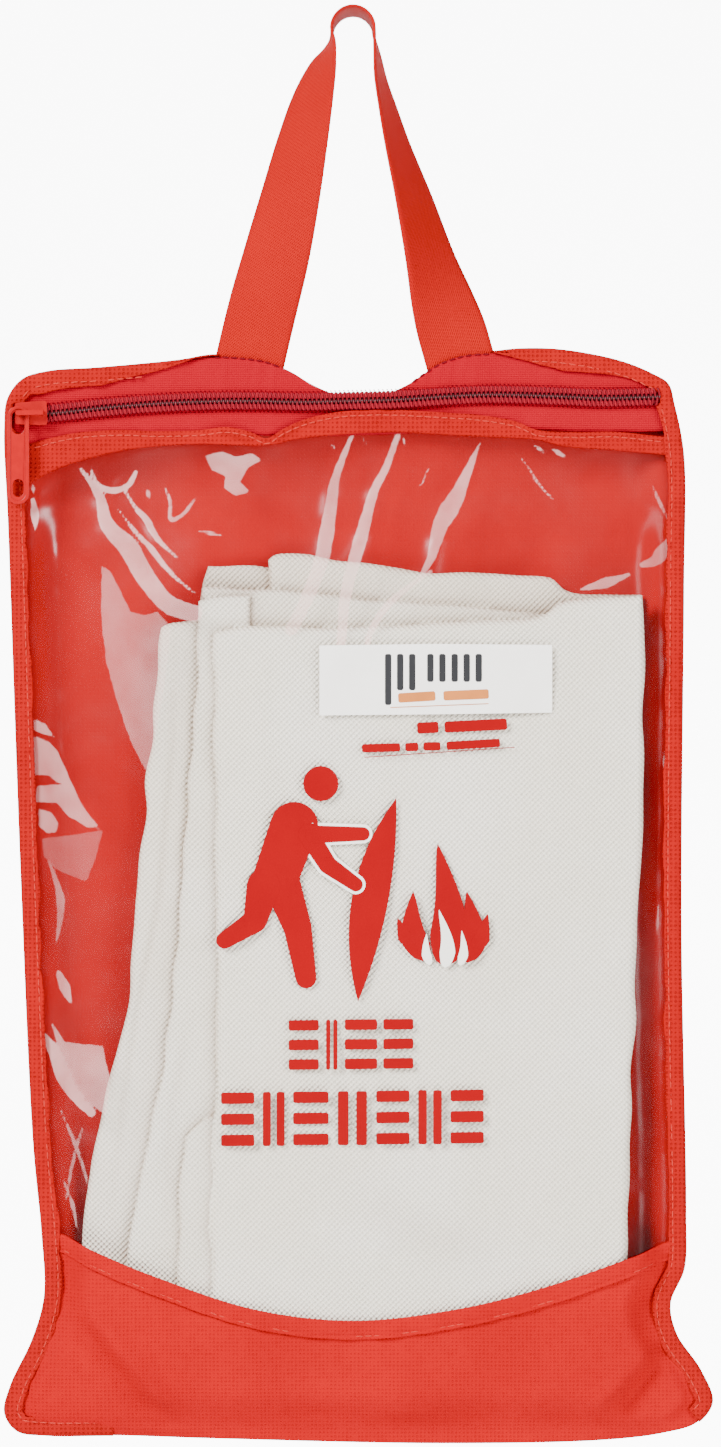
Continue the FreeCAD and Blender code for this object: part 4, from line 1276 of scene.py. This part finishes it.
# ---------------------------------------------------------------- window film
RIDGES = [  # places, width, height
    ([(-97.9, -157.3), (-91.4, -166.7), (-88.2, -177.5), (-80.6, -185.8), (-74.2, -196.6),
      (-65.9, -206.3), (-56.9, -208.8)], 3.4, 1.1),
    ([(-82.1, -165.2), (-74.2, -175.7), (-70.2, -182.5), (-58.7, -193.7)], 2.4, 0.9),
    ([(-94.3, -158.4), (-86.8, -165.2), (-78.5, -158.4)], 2.0, 0.7),
    ([(0.0, -144.4), (-6.5, -157.0), (-7.9, -165.2), (-11.5, -190.1), (-17.3, -206.3), (-22.7, -213.5)],
     3.0, 1.1),
    ([(16.2, -144.7), (7.6, -165.2), (2.5, -184.3), (-3.2, -194.0), (-4.7, -214.6), (-5.4, -222.5)], 3.0,
     1.1),
    ([(45.7, -148.0), (40.0, -161.3), (31.7, -173.5), (28.1, -194.4), (14.8, -203.4), (7.6, -213.5)], 3.4,
     1.1),
    ([(60.5, -153.7), (72.0, -168.5), (79.9, -182.9)], 2.2, 0.6),
    ([(103.3, -190.1), (88.9, -197.3), (74.5, -204.5)], 4.0, 0.8),
    ([(-90.0, -192.6), (-89.6, -211.7), (-85.7, -229.0), (-74.9, -265.7)], 4.2, 1.0),
    ([(-114.1, -248.4), (-103.3, -262.1), (-91.1, -286.6)], 5.0, 1.1),
    ([(-108.4, -356.4), (-96.8, -385.2), (-89.3, -406.1)], 5.0, 1.2),
    ([(-109.1, -298.1), (-98.3, -326.9), (-105.5, -348.5)], 6.0, 0.8),
    ([(-37.1, -218.9), (-8.3, -247.7), (27.7, -276.5), (67.3, -312.5)], 5.0, 0.35),
    ([(-22.7, -218.9), (9.7, -254.9), (52.9, -287.3), (96.1, -312.5)], 4.0, 0.3),
    ([(106.2, -240.5), (108.7, -283.7), (106.9, -334.1)], 5.0, 0.5),
    ([(-105.5, -175.7), (-103.3, -204.5), (-105.5, -240.5)], 5.0, 0.7),
    ([(103.3, -348.5), (107.6, -384.5), (105.1, -420.5)], 5.0, 0.5),
]


def film_y(x, z):
    """Y of the film, with its ridges and slack."""
    lift = np.minimum(fold_lines(x, z, RIDGES, ends=0.06), 1.6)
    edge = ease(np.minimum(x - LEFT0(z), RIGHT0(z) - x), 6.0, 14.0) * ease(band_low(x) - z, 1.0, 10.0)
    edge = edge * ease(z - hem_top(x), -1.0, 12.0)
    slack = 0.5 * (1 + 0.6 * noise2(x, z, 30.0, 101) + 0.3 * noise2(x, z, 12.0, 102))
    return -(swell(x, z, (-164.0, -190.0))) - edge * (lift + slack) + 0.05


# Painted highlights on the film, as runs of places.
PAINTED_HIGHLIGHT_STREAKS = [  # places, half width at the start, the middle and the end in mm, strength
    ([(-97.9, -157.3), (-91.4, -166.7), (-88.2, -177.5), (-80.6, -185.8), (-74.2, -196.6),
      (-65.9, -206.3), (-56.9, -209.5)], (0.5, 3.6, 3.0), 0.60),
    ([(-94.3, -157.7), (-91.8, -162.7), (-86.8, -165.2), (-81.0, -163.4), (-78.1, -158.4)],
     (0.4, 1.1, 0.7), 0.72),
    ([(-82.1, -165.2), (-78.1, -171.4), (-74.2, -175.7), (-70.2, -182.5), (-62.3, -190.1)],
     (0.4, 1.3, 0.3), 0.70),
    ([(-84.2, -172.1), (-78.1, -180.0), (-72.7, -185.8), (-65.2, -195.1), (-56.5, -202.3)],
     (0.2, 1.1, 0.3), 0.70),
    ([(-67.7, -164.2), (-65.9, -168.5), (-65.2, -175.7), (-61.6, -174.2), (-56.5, -167.8)],
     (0.3, 0.8, 0.3), 0.6),
    ([(-73.8, -164.9), (-73.4, -167.8)], (0.5, 0.9, 0.4), 0.6),
    ([(-55.1, -180.0), (-47.2, -181.4)], (0.3, 0.7, 0.3), 0.5),
    ([(0.0, -144.4), (-4.3, -154.8), (-6.5, -161.3), (-7.9, -170.3), (-11.2, -190.1), (-16.6, -204.5),
      (-22.0, -215.3)], (0.5, 2.7, 2.2), 0.52),
    ([(16.2, -144.7), (11.5, -157.7), (7.6, -165.2), (3.2, -181.1), (-0.4, -193.7), (-2.9, -204.5),
      (-4.3, -222.5)], (0.8, 2.4, 1.6), 0.58),
    ([(45.7, -148.0), (41.4, -157.7), (36.7, -168.5), (31.7, -177.1), (27.7, -190.1), (24.1, -196.6)],
     (0.3, 3.4, 0.7), 0.50),
    ([(28.1, -194.4), (18.7, -200.9), (11.2, -208.1), (6.1, -216.7), (4.7, -222.5)], (0.5, 1.3, 1.0), 0.55),
    ([(60.5, -153.7), (63.7, -157.7), (66.2, -162.0), (72.0, -168.5)], (0.2, 0.45, 0.2), 0.55),
    ([(65.5, -149.0), (68.4, -151.2)], (0.3, 0.8, 0.4), 0.6),
    ([(71.3, -149.8), (76.3, -153.0)], (0.3, 0.9, 0.4), 0.6),
    ([(-7.9, -148.3), (-6.5, -149.8)], (0.3, 0.6, 0.3), 0.5),
    ([(4.0, -146.2), (4.7, -149.0)], (0.2, 0.5, 0.2), 0.6),
    ([(17.6, -145.4), (19.1, -149.0)], (0.2, 0.5, 0.2), 0.5),
    ([(22.3, -161.3), (24.1, -163.4), (26.3, -159.1), (27.7, -156.2)], (0.2, 0.35, 0.2), 0.5),
    ([(99.0, -195.5), (91.1, -198.4), (81.7, -200.9)], (0.4, 2.0, 0.5), 0.42),
    ([(114.8, -181.4), (108.7, -190.1), (103.3, -192.2)], (0.8, 2.6, 0.8), 0.40),
    ([(-115.2, -168.5), (-114.5, -172.8), (-114.1, -179.3)], (0.8, 1.5, 0.4), 0.66),
    ([(-115.6, -162.7), (-114.8, -165.6)], (0.4, 0.9, 0.4), 0.6),
    ([(107.6, -163.4), (113.4, -175.7)], (0.2, 0.8, 0.2), 0.35),
    ([(112.7, -224.3), (113.0, -226.8)], (0.3, 0.6, 0.3), 0.5),
    ([(112.3, -257.8), (111.6, -265.7)], (0.2, 0.5, 0.2), 0.45),
    ([(109.8, -314.3), (109.1, -326.9)], (0.2, 0.5, 0.2), 0.35),
    ([(-111.2, -361.1), (-106.2, -368.6), (-100.1, -379.4), (-93.6, -388.1)], (1.0, 4.4, 1.5), 0.60),
    ([(-105.5, -338.4), (-103.3, -343.4), (-101.2, -348.5)], (1.0, 2.2, 0.8), 0.50),
    ([(-96.8, -393.8), (-100.4, -406.1), (-103.3, -420.5)], (0.3, 0.6, 0.2), 0.35),
    ([(-104.8, -388.1), (-98.3, -402.5), (-94.0, -416.9)], (0.3, 0.7, 0.2), 0.35),
    ([(-104.0, -413.3), (-100.4, -422.3), (-99.0, -429.8)], (0.3, 0.8, 0.3), 0.35),
    ([(-109.1, -298.1), (-104.8, -312.5), (-106.2, -326.9)], (0.4, 1.6, 0.4), 0.25),
]

# Painted highlights on the film, as outlines.
PAINTED_HIGHLIGHT_PATCHES = [  # outline, strength
    ([(-53.3, -152.6), (-47.2, -151.2), (-42.1, -153.0), (-36.4, -151.6), (-32.8, -154.1),
      (-37.8, -157.0), (-40.7, -162.0), (-37.1, -165.6), (-42.1, -167.0), (-46.4, -164.2),
      (-45.7, -159.8), (-50.8, -157.7)], 0.48),
    ([(-90.0, -192.6), (-86.8, -194.4), (-83.2, -201.6), (-79.6, -208.8), (-74.5, -210.2),
      (-70.2, -208.8), (-65.2, -214.6), (-65.9, -222.5), (-67.7, -236.9), (-70.9, -254.9),
      (-73.8, -266.4), (-79.6, -254.9), (-84.6, -240.5), (-88.2, -226.8), (-90.0, -211.7)], 0.30),
    ([(-114.8, -247.3), (-110.5, -249.1), (-106.9, -253.8), (-111.2, -252.7), (-114.8, -251.3)], 0.42),
    ([(-114.8, -253.4), (-109.1, -255.6), (-105.5, -259.2), (-101.9, -267.5), (-96.8, -278.3),
      (-90.7, -286.2), (-95.4, -285.8), (-101.9, -281.9), (-106.2, -277.2), (-114.1, -277.2),
      (-114.1, -271.4), (-104.0, -270.7), (-109.1, -267.8), (-114.8, -267.1)], 0.42),
    ([(-113.4, -279.4), (-108.4, -280.8), (-105.5, -284.4), (-106.2, -288.0), (-109.8, -288.4),
      (-113.0, -285.8)], 0.40),
    ([(-112.0, -290.2), (-89.6, -287.3), (-91.8, -296.3), (-95.4, -305.3), (-105.5, -301.7),
      (-111.2, -296.6)], 0.12),
    ([(-108.4, -356.4), (-103.3, -362.9), (-89.6, -364.3), (-87.1, -375.8), (-88.2, -389.5),
      (-92.5, -385.9), (-96.8, -383.8), (-103.3, -373.0)], 0.46),
]


def highlights(x, z):
    """Painted highlights and painted glare on the film, at each point: depth inside a highlight (0.5 at its
    edge), the amount of painted glare, and the highlight's strength.
    """
    field = np.full(x.shape, -9.0)
    power = np.zeros(x.shape)
    for places, (w0, w1, w2), strength in PAINTED_HIGHLIGHT_STREAKS:
        dist, along, _ = near_line(x, z, spline_points(places, 40) if len(places) > 2 else places)
        half = np.interp(along, [0.0, 0.5, 1.0], [w0, w1, w2])
        far_in = half - dist
        power = np.where(far_in > field, strength, power)
        field = np.maximum(field, far_in)
    for places, strength in PAINTED_HIGHLIGHT_PATCHES:
        far_in = inside_of(x, z, places)
        power = np.where(far_in > field, strength, power)
        field = np.maximum(field, far_in)
    # Painted glare: soft white clouds round these centres, with their sizes and amounts.
    soft = np.zeros(x.shape)
    for cx, cz, rx, rz, much in [
        (-87.5, -204.5, 16.0, 26.0, 0.10),
        (-104.0, -312.5, 12.0, 26.0, 0.14),
        (-98.3, -406.1, 13.0, 34.0, 0.16),
        (88.9, -211.7, 26.0, 16.0, 0.12),
        (74.5, -161.3, 40.0, 22.0, 0.06),
        (-19.1, -161.3, 50.0, 16.0, 0.07),
        (107.6, -384.5, 6.0, 60.0, 0.08),
        (-69.5, -190.1, 18.0, 18.0, 0.12),
    ]:
        soft += much * np.exp(-(((x - cx) / rx) ** 2) - ((z - cz) / rz) ** 2)
    return np.stack([np.clip(0.5 + field / 4.0, 0, 1), np.clip(soft, 0, 0.5), power], -1)


def film():
    """The clear front of the pouch."""
    x, z = patch(lambda x: hem_top(x) - 4.0, lambda x: band_low(x) + 4.0, 250, 300, 1.0)
    near = np.stack([x, film_y(x, z), z], -1)
    obj = add_mesh("window_clear_film", near.reshape(-1, 3), grid_faces(*x.shape), M_FILM, "pouch")
    # Keeps the painted highlights and painted glare at the film's points for its material.
    keep_at_points(obj, "painted_glare_marks", highlights(x, z))
    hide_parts("window_film")
    return obj


FILM = film()


# ---------------------------------------------------------------- printing on the film
def print_on_film(name, outlines, mat, lift=0.10, node=None, step=3.0):
    """Flat shapes laid on the film, cut fine enough to follow it. Outlines are (x, z) runs in mm."""
    mesh = bmesh.new()
    for k, places in enumerate(outlines):
        mesh.faces.new([mesh.verts.new((x, -0.01 * k, z)) for x, z in places])
    for axis, (low, high) in (((1, 0, 0), (-130, 130)), ((0, 0, 1), (-460, -190))):
        for at in np.arange(low, high, step):
            bmesh.ops.bisect_plane(
                mesh, geom=mesh.verts[:] + mesh.edges[:] + mesh.faces[:], plane_co=Vector(axis) * at,
                plane_no=axis, dist=1e-5
            )
    bmesh.ops.triangulate(mesh, faces=mesh.faces[:])
    mesh.verts.index_update()
    v = np.array([p.co for p in mesh.verts])
    f = [[p.index for p in face.verts] for face in mesh.faces]
    mesh.free()
    v[:, 1] += film_y(v[:, 0], v[:, 2]) - lift
    front = []
    for a, b, c in f:
        up = (v[b, 0] - v[a, 0]) * (v[c, 2] - v[a, 2]) - (v[c, 0] - v[a, 0]) * (v[b, 2] - v[a, 2])
        front.append([a, b, c] if up > 0 else [a, c, b])
    obj = add_mesh(name, v, front, mat, "pouch")
    if node:
        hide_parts(node)
    return obj


def disc(x, z, r):
    """A round outline."""
    return [(x + r * math.cos(a), z + r * math.sin(a))
            for a in np.linspace(0, 2 * math.pi, 36, endpoint=False)]


def limb(x0, z0, r0, x1, z1, r1, grow=0.0):
    """A tapering bar with round ends, from one place to another."""
    start, end = np.array((x0, z0)), np.array((x1, z1))
    way = math.atan2(z1 - z0, x1 - x0)
    lean = math.asin((r0 - r1) / np.linalg.norm(end - start))
    turn = np.linspace(math.pi / 2 - lean, -math.pi / 2 + lean, 12)
    tail = [end + (r1 + grow) * np.array((math.cos(way + a), math.sin(way + a))) for a in turn]
    turn = np.linspace(-math.pi / 2 + lean, -math.pi * 3 / 2 - lean, 12)
    head = [start + (r0 + grow) * np.array((math.cos(way + a), math.sin(way + a))) for a in turn]
    return [tuple(p) for p in tail + head]


def leaf(top, foot, left, right):
    """A shape between two points whose sides bow out by these distances."""
    top, foot = np.array(top), np.array(foot)
    ahead = (foot - top) / np.linalg.norm(foot - top)
    side = np.array((-ahead[1], ahead[0]))
    share = np.linspace(0, 1, 20)
    bow = 4 * share * (1 - share)
    one = [top + (foot - top) * t + side * right * b for t, b in zip(share, bow)]
    two = [top + (foot - top) * t - side * left * b for t, b in zip(share, bow)]
    return [tuple(p) for p in one + two[-2:0:-1]]


def tongue(foot, tip, half, sway):
    """A tongue of flame: round at its foot, pointed at its tip, and bent sideways on its way up."""
    foot, tip = np.array(foot), np.array(tip)
    share = np.linspace(0, 1, 24)
    wide = half * np.minimum(1.0, 1.9 * np.sqrt(share)) * (1 - share) ** 0.8
    middle = (foot + (tip - foot) * share[:, None]
              + np.outer(sway * np.sin(share * math.pi * 1.2), (1.0, 0.0)))
    one = middle + np.outer(wide, (1.0, 0.0))
    two = middle - np.outer(wide, (1.0, 0.0))
    return [tuple(p) for p in np.vstack([one, two[-2:0:-1]])]


def bar(x0, z0, x1, z1, half):
    """A bar with small round corners, half its height on each side of its middle."""
    start, end = np.array((x0, z0)), np.array((x1, z1))
    ahead = (end - start) / np.linalg.norm(end - start)
    side = np.array((-ahead[1], ahead[0]))
    r = min(0.5, half)
    corners = [start + side * (half - r), start + ahead * r + side * half, end - ahead * r + side * half,
               end + side * (half - r),
               end - side * (half - r), end - ahead * r - side * half, start + ahead * r - side * half,
               start - side * (half - r)]
    return [tuple(p) for p in corners]


ARMS = [(-16.0, -288.5, 3.6, -9.0, -299.5, 3.2), (-9.0, -299.5, 3.2, 1.0, -306.5, 2.5),
        (-14.0, -288.6, 3.2, 3.6, -288.4, 2.4)]
LEGS = [(-25.5, -306.0, 6.6, -19.8, -322.0, 5.0), (-19.8, -322.0, 5.0, -16.8, -340.0, 3.7),
        (-32.0, -307.0, 6.0, -35.0, -319.5, 4.2), (-35.0, -319.5, 4.2, -46.0, -326.5, 3.0)]
PERSON = [disc(-11.5, -270.4, 6.3), limb(-21.0, -285.5, 8.6, -28.5, -306.5,
                                         8.0)] + [limb(*one) for one in LEGS]
HELD_CLOTH = [leaf((15.5, -275.5), (1.8, -348.5), 9.0, 4.0)]
HANDS_ROOM = [limb(*one, grow=1.0) for one in ARMS]
FLAMES = [tongue((33.0, -336.0), (31.6, -292.0), 9.0, 2.2),
          tongue((25.0, -334.0), (20.6, -309.0), 6.6, -1.6),
          tongue((41.0, -334.5), (41.8, -309.0), 6.6, 1.8),
          tongue((20.4, -329.0), (16.0, -318.5), 4.0, 0.0),
          tongue((44.8, -330.0), (48.2, -317.0), 4.2, 0.0)]
FLAME_HEART = [tongue((33.0, -336.4), (31.6, -315.5), 3.6, 1.4),
               tongue((27.4, -335.4), (26.0, -324.0), 2.3, -0.6),
               tongue((38.4, -335.6), (39.4, -323.0), 2.3, 0.8)]


def mark_row(x0, x1, z0, lean, tall, widths):
    """A row of plain striped marks, in place of words: three bars lying or two standing."""
    shapes = []
    between = 2.2
    unit = (x1 - x0 - between * (len(widths) - 1)) / sum(w for w, _ in widths)
    x = x0
    for share, upright in widths:
        wide = share * unit
        top = z0 + lean * (x - x0)
        if upright:
            shapes += [bar(x + wide * at, top, x + wide * at, top - tall, wide * 0.15)
                       for at in (0.24, 0.76)]
        else:
            heights = [top - tall * at for at in (0.11, 0.50, 0.89)]
            shapes += [bar(x, z, x + wide, z + lean * wide, tall * 0.105) for z in heights]
        x += wide + between
    return shapes


LEAN = 0.012
LYING, STANDING = False, True
print_on_film("print_cloth", HELD_CLOTH, M_INK, 0.08)
print_on_film("print_room_round_hands", HANDS_ROOM, M_WHITE_INK, 0.11)
print_on_film("print_figure", PERSON + [limb(*one) for one in ARMS], M_INK, 0.15)
print_on_film("print_flames", FLAMES, M_INK, 0.08)
print_on_film("print_flame_heart", FLAME_HEART, M_WHITE_INK, 0.16)
print_on_film("print_marks", mark_row(-23.0, 21.6, -355.0, LEAN, 18.0,
                                      [(26, LYING), (12, STANDING), (28, LYING), (26, LYING)])
              + mark_row(-47.2, 46.8, -380.9, LEAN, 19.4,
                         [(30, LYING), (24, STANDING), (32, LYING), (32, STANDING),
                          (30, LYING), (26, STANDING), (30, LYING)]), M_INK)
print_on_film("print_small_lines", [bar(23.0, -250.6, 30.6, -250.2, 2.0),
                                    bar(32.8, -250.2, 55.1, -249.1, 2.0),
                                    bar(3.2, -257.8, 16.9, -257.4, 1.5),
                                    bar(18.7, -257.4, 23.4, -257.2, 1.5),
                                    bar(25.2, -257.1, 31.3, -257.0, 1.5),
                                    bar(33.5, -256.9, 52.6, -255.8, 1.5),
                                    bar(4.0, -261.0, 58.0, -257.4, 0.15)], M_INK)
print_on_film("label", [[(-12.0, -221.0), (30.0, -220.4), (71.3, -220.8), (71.3, -245.0), (30.0, -245.6),
                         (-12.0, -246.0)]],
              M_STICKER, 0.14, "sticker")
UPRIGHTS = [(12.6, -242.3), (16.9, -237.0), (21.2, -237.0), (27.7, -234.0), (32.0, -234.0),
            (36.4, -234.0), (40.7, -234.0), (45.0, -234.0)]
print_on_film("label_marks_dark", [bar(x, -224.0, x, low, 1.15) for x, low in UPRIGHTS], M_DARK_INK, 0.20)
print_on_film("label_marks_amber", [bar(16.2, -239.8, 29.5, -239.0, 1.7),
                                    bar(32.4, -239.0, 48.6, -238.3, 1.7),
                                    bar(13.3, -243.2, 48.6, -241.8, 0.15)], M_AMBER_INK, 0.20)



# ---------------------------------------------------------------- camera, lights and floor
CENTRE_X, CENTRE_Z, DISTANCE, VIEW_HEIGHT = 0.0027, -0.2489, 1.6, 0.5209

cam = bpy.data.cameras.new("camera")
cam.sensor_fit = "VERTICAL"
cam.sensor_height = 36.0
cam.lens = 36.0 * DISTANCE / VIEW_HEIGHT
cam.dof.use_dof = False
cam.clip_end = 20.0
camera = bpy.data.objects.new("camera", cam)
bpy.context.scene.collection.objects.link(camera)
camera.location = (CENTRE_X, -DISTANCE, CENTRE_Z)
camera.rotation_euler = (math.pi / 2, 0.0, 0.0)
bpy.context.scene.camera = camera


def light(name, place, target, size, power, tint=(1.0, 1.0, 1.0)):
    """A soft rectangular lamp turned to a target."""
    data = bpy.data.lights.new(name, "AREA")
    data.shape = "RECTANGLE"
    data.size, data.size_y = size
    data.energy = power
    data.color = tint
    obj = bpy.data.objects.new(name, data)
    bpy.context.scene.collection.objects.link(obj)
    obj.location = place
    obj.rotation_euler = (Vector(target) - Vector(place)).to_track_quat("-Z", "Y").to_euler()
    return obj


light("key", (-1.5, -1.35, 0.95), (0.0, 0.0, -0.25), (0.9, 0.9), 138.0)
light("fill", (1.5, -1.3, 0.1), (0.0, 0.0, -0.3), (1.2, 1.6), 56.0)
light("low", (0.1, -1.2, -1.3), (0.0, 0.0, -0.3), (1.4, 0.7), 13.0)


GLOW, GLOW_FULL_TO, GLOW_GONE_AT = 8.5, 1600.0, 3000.0


def white_sweep():
    """A plain pale floor, well below the hanging pouch, and a pale wall far behind it that glows brightest
    round the middle: a painted pool of light.
    """
    floor_z, bend_y, top_z = -1.6, 5.6, 3.4
    run = [(-6.0, floor_z), (bend_y, floor_z)]
    for a in range(10, 91, 10):
        turn = math.radians(a)
        run.append((bend_y + math.sin(turn), floor_z + 1.0 - math.cos(turn)))
    run.append((bend_y + 1.0, top_z))
    verts = [(x * 1000, y * 1000, z * 1000) for y, z in run for x in (-6.0, 6.0)]
    faces = [[2 * i, 2 * i + 1, 2 * i + 3, 2 * i + 2] for i in range(len(run) - 1)]
    mats = []
    for name in ("pale floor", "pale wall"):
        s = Shade(name, Roughness=0.9, Specular_IOR_Level=0.1)
        s.colour((0.9, 0.9, 0.9))
        s.set("Emission_Color", (1.0, 1.0, 1.0, 1.0))
        s.set("Emission_Strength", 0.5)
        mats.append(s.m)
    # Painted pool of light on the wall: it glows GLOW strong near the middle behind the pouch and fades to a
    # strength of 1 further out.
    x, _, z = s.mm()
    down = s.plus(z, 250.0)
    away = s.math("SQRT", s.plus(s.times(x, x), s.times(down, down)))
    glow = s.smooth(away, GLOW_FULL_TO, GLOW_GONE_AT, GLOW, 1.0)
    s.t.links.new(glow, s.bsdf.inputs["Emission Strength"])
    obj = add_mesh("floor", verts, faces, mats, face_mats=[0] + [1] * (len(faces) - 1))


white_sweep()

world = bpy.data.worlds.new("studio")
world.use_nodes = True
world.node_tree.nodes["Background"].inputs["Color"].default_value = (1.0, 1.0, 1.0, 1.0)
world.node_tree.nodes["Background"].inputs["Strength"].default_value = 0.6
bpy.context.scene.world = world
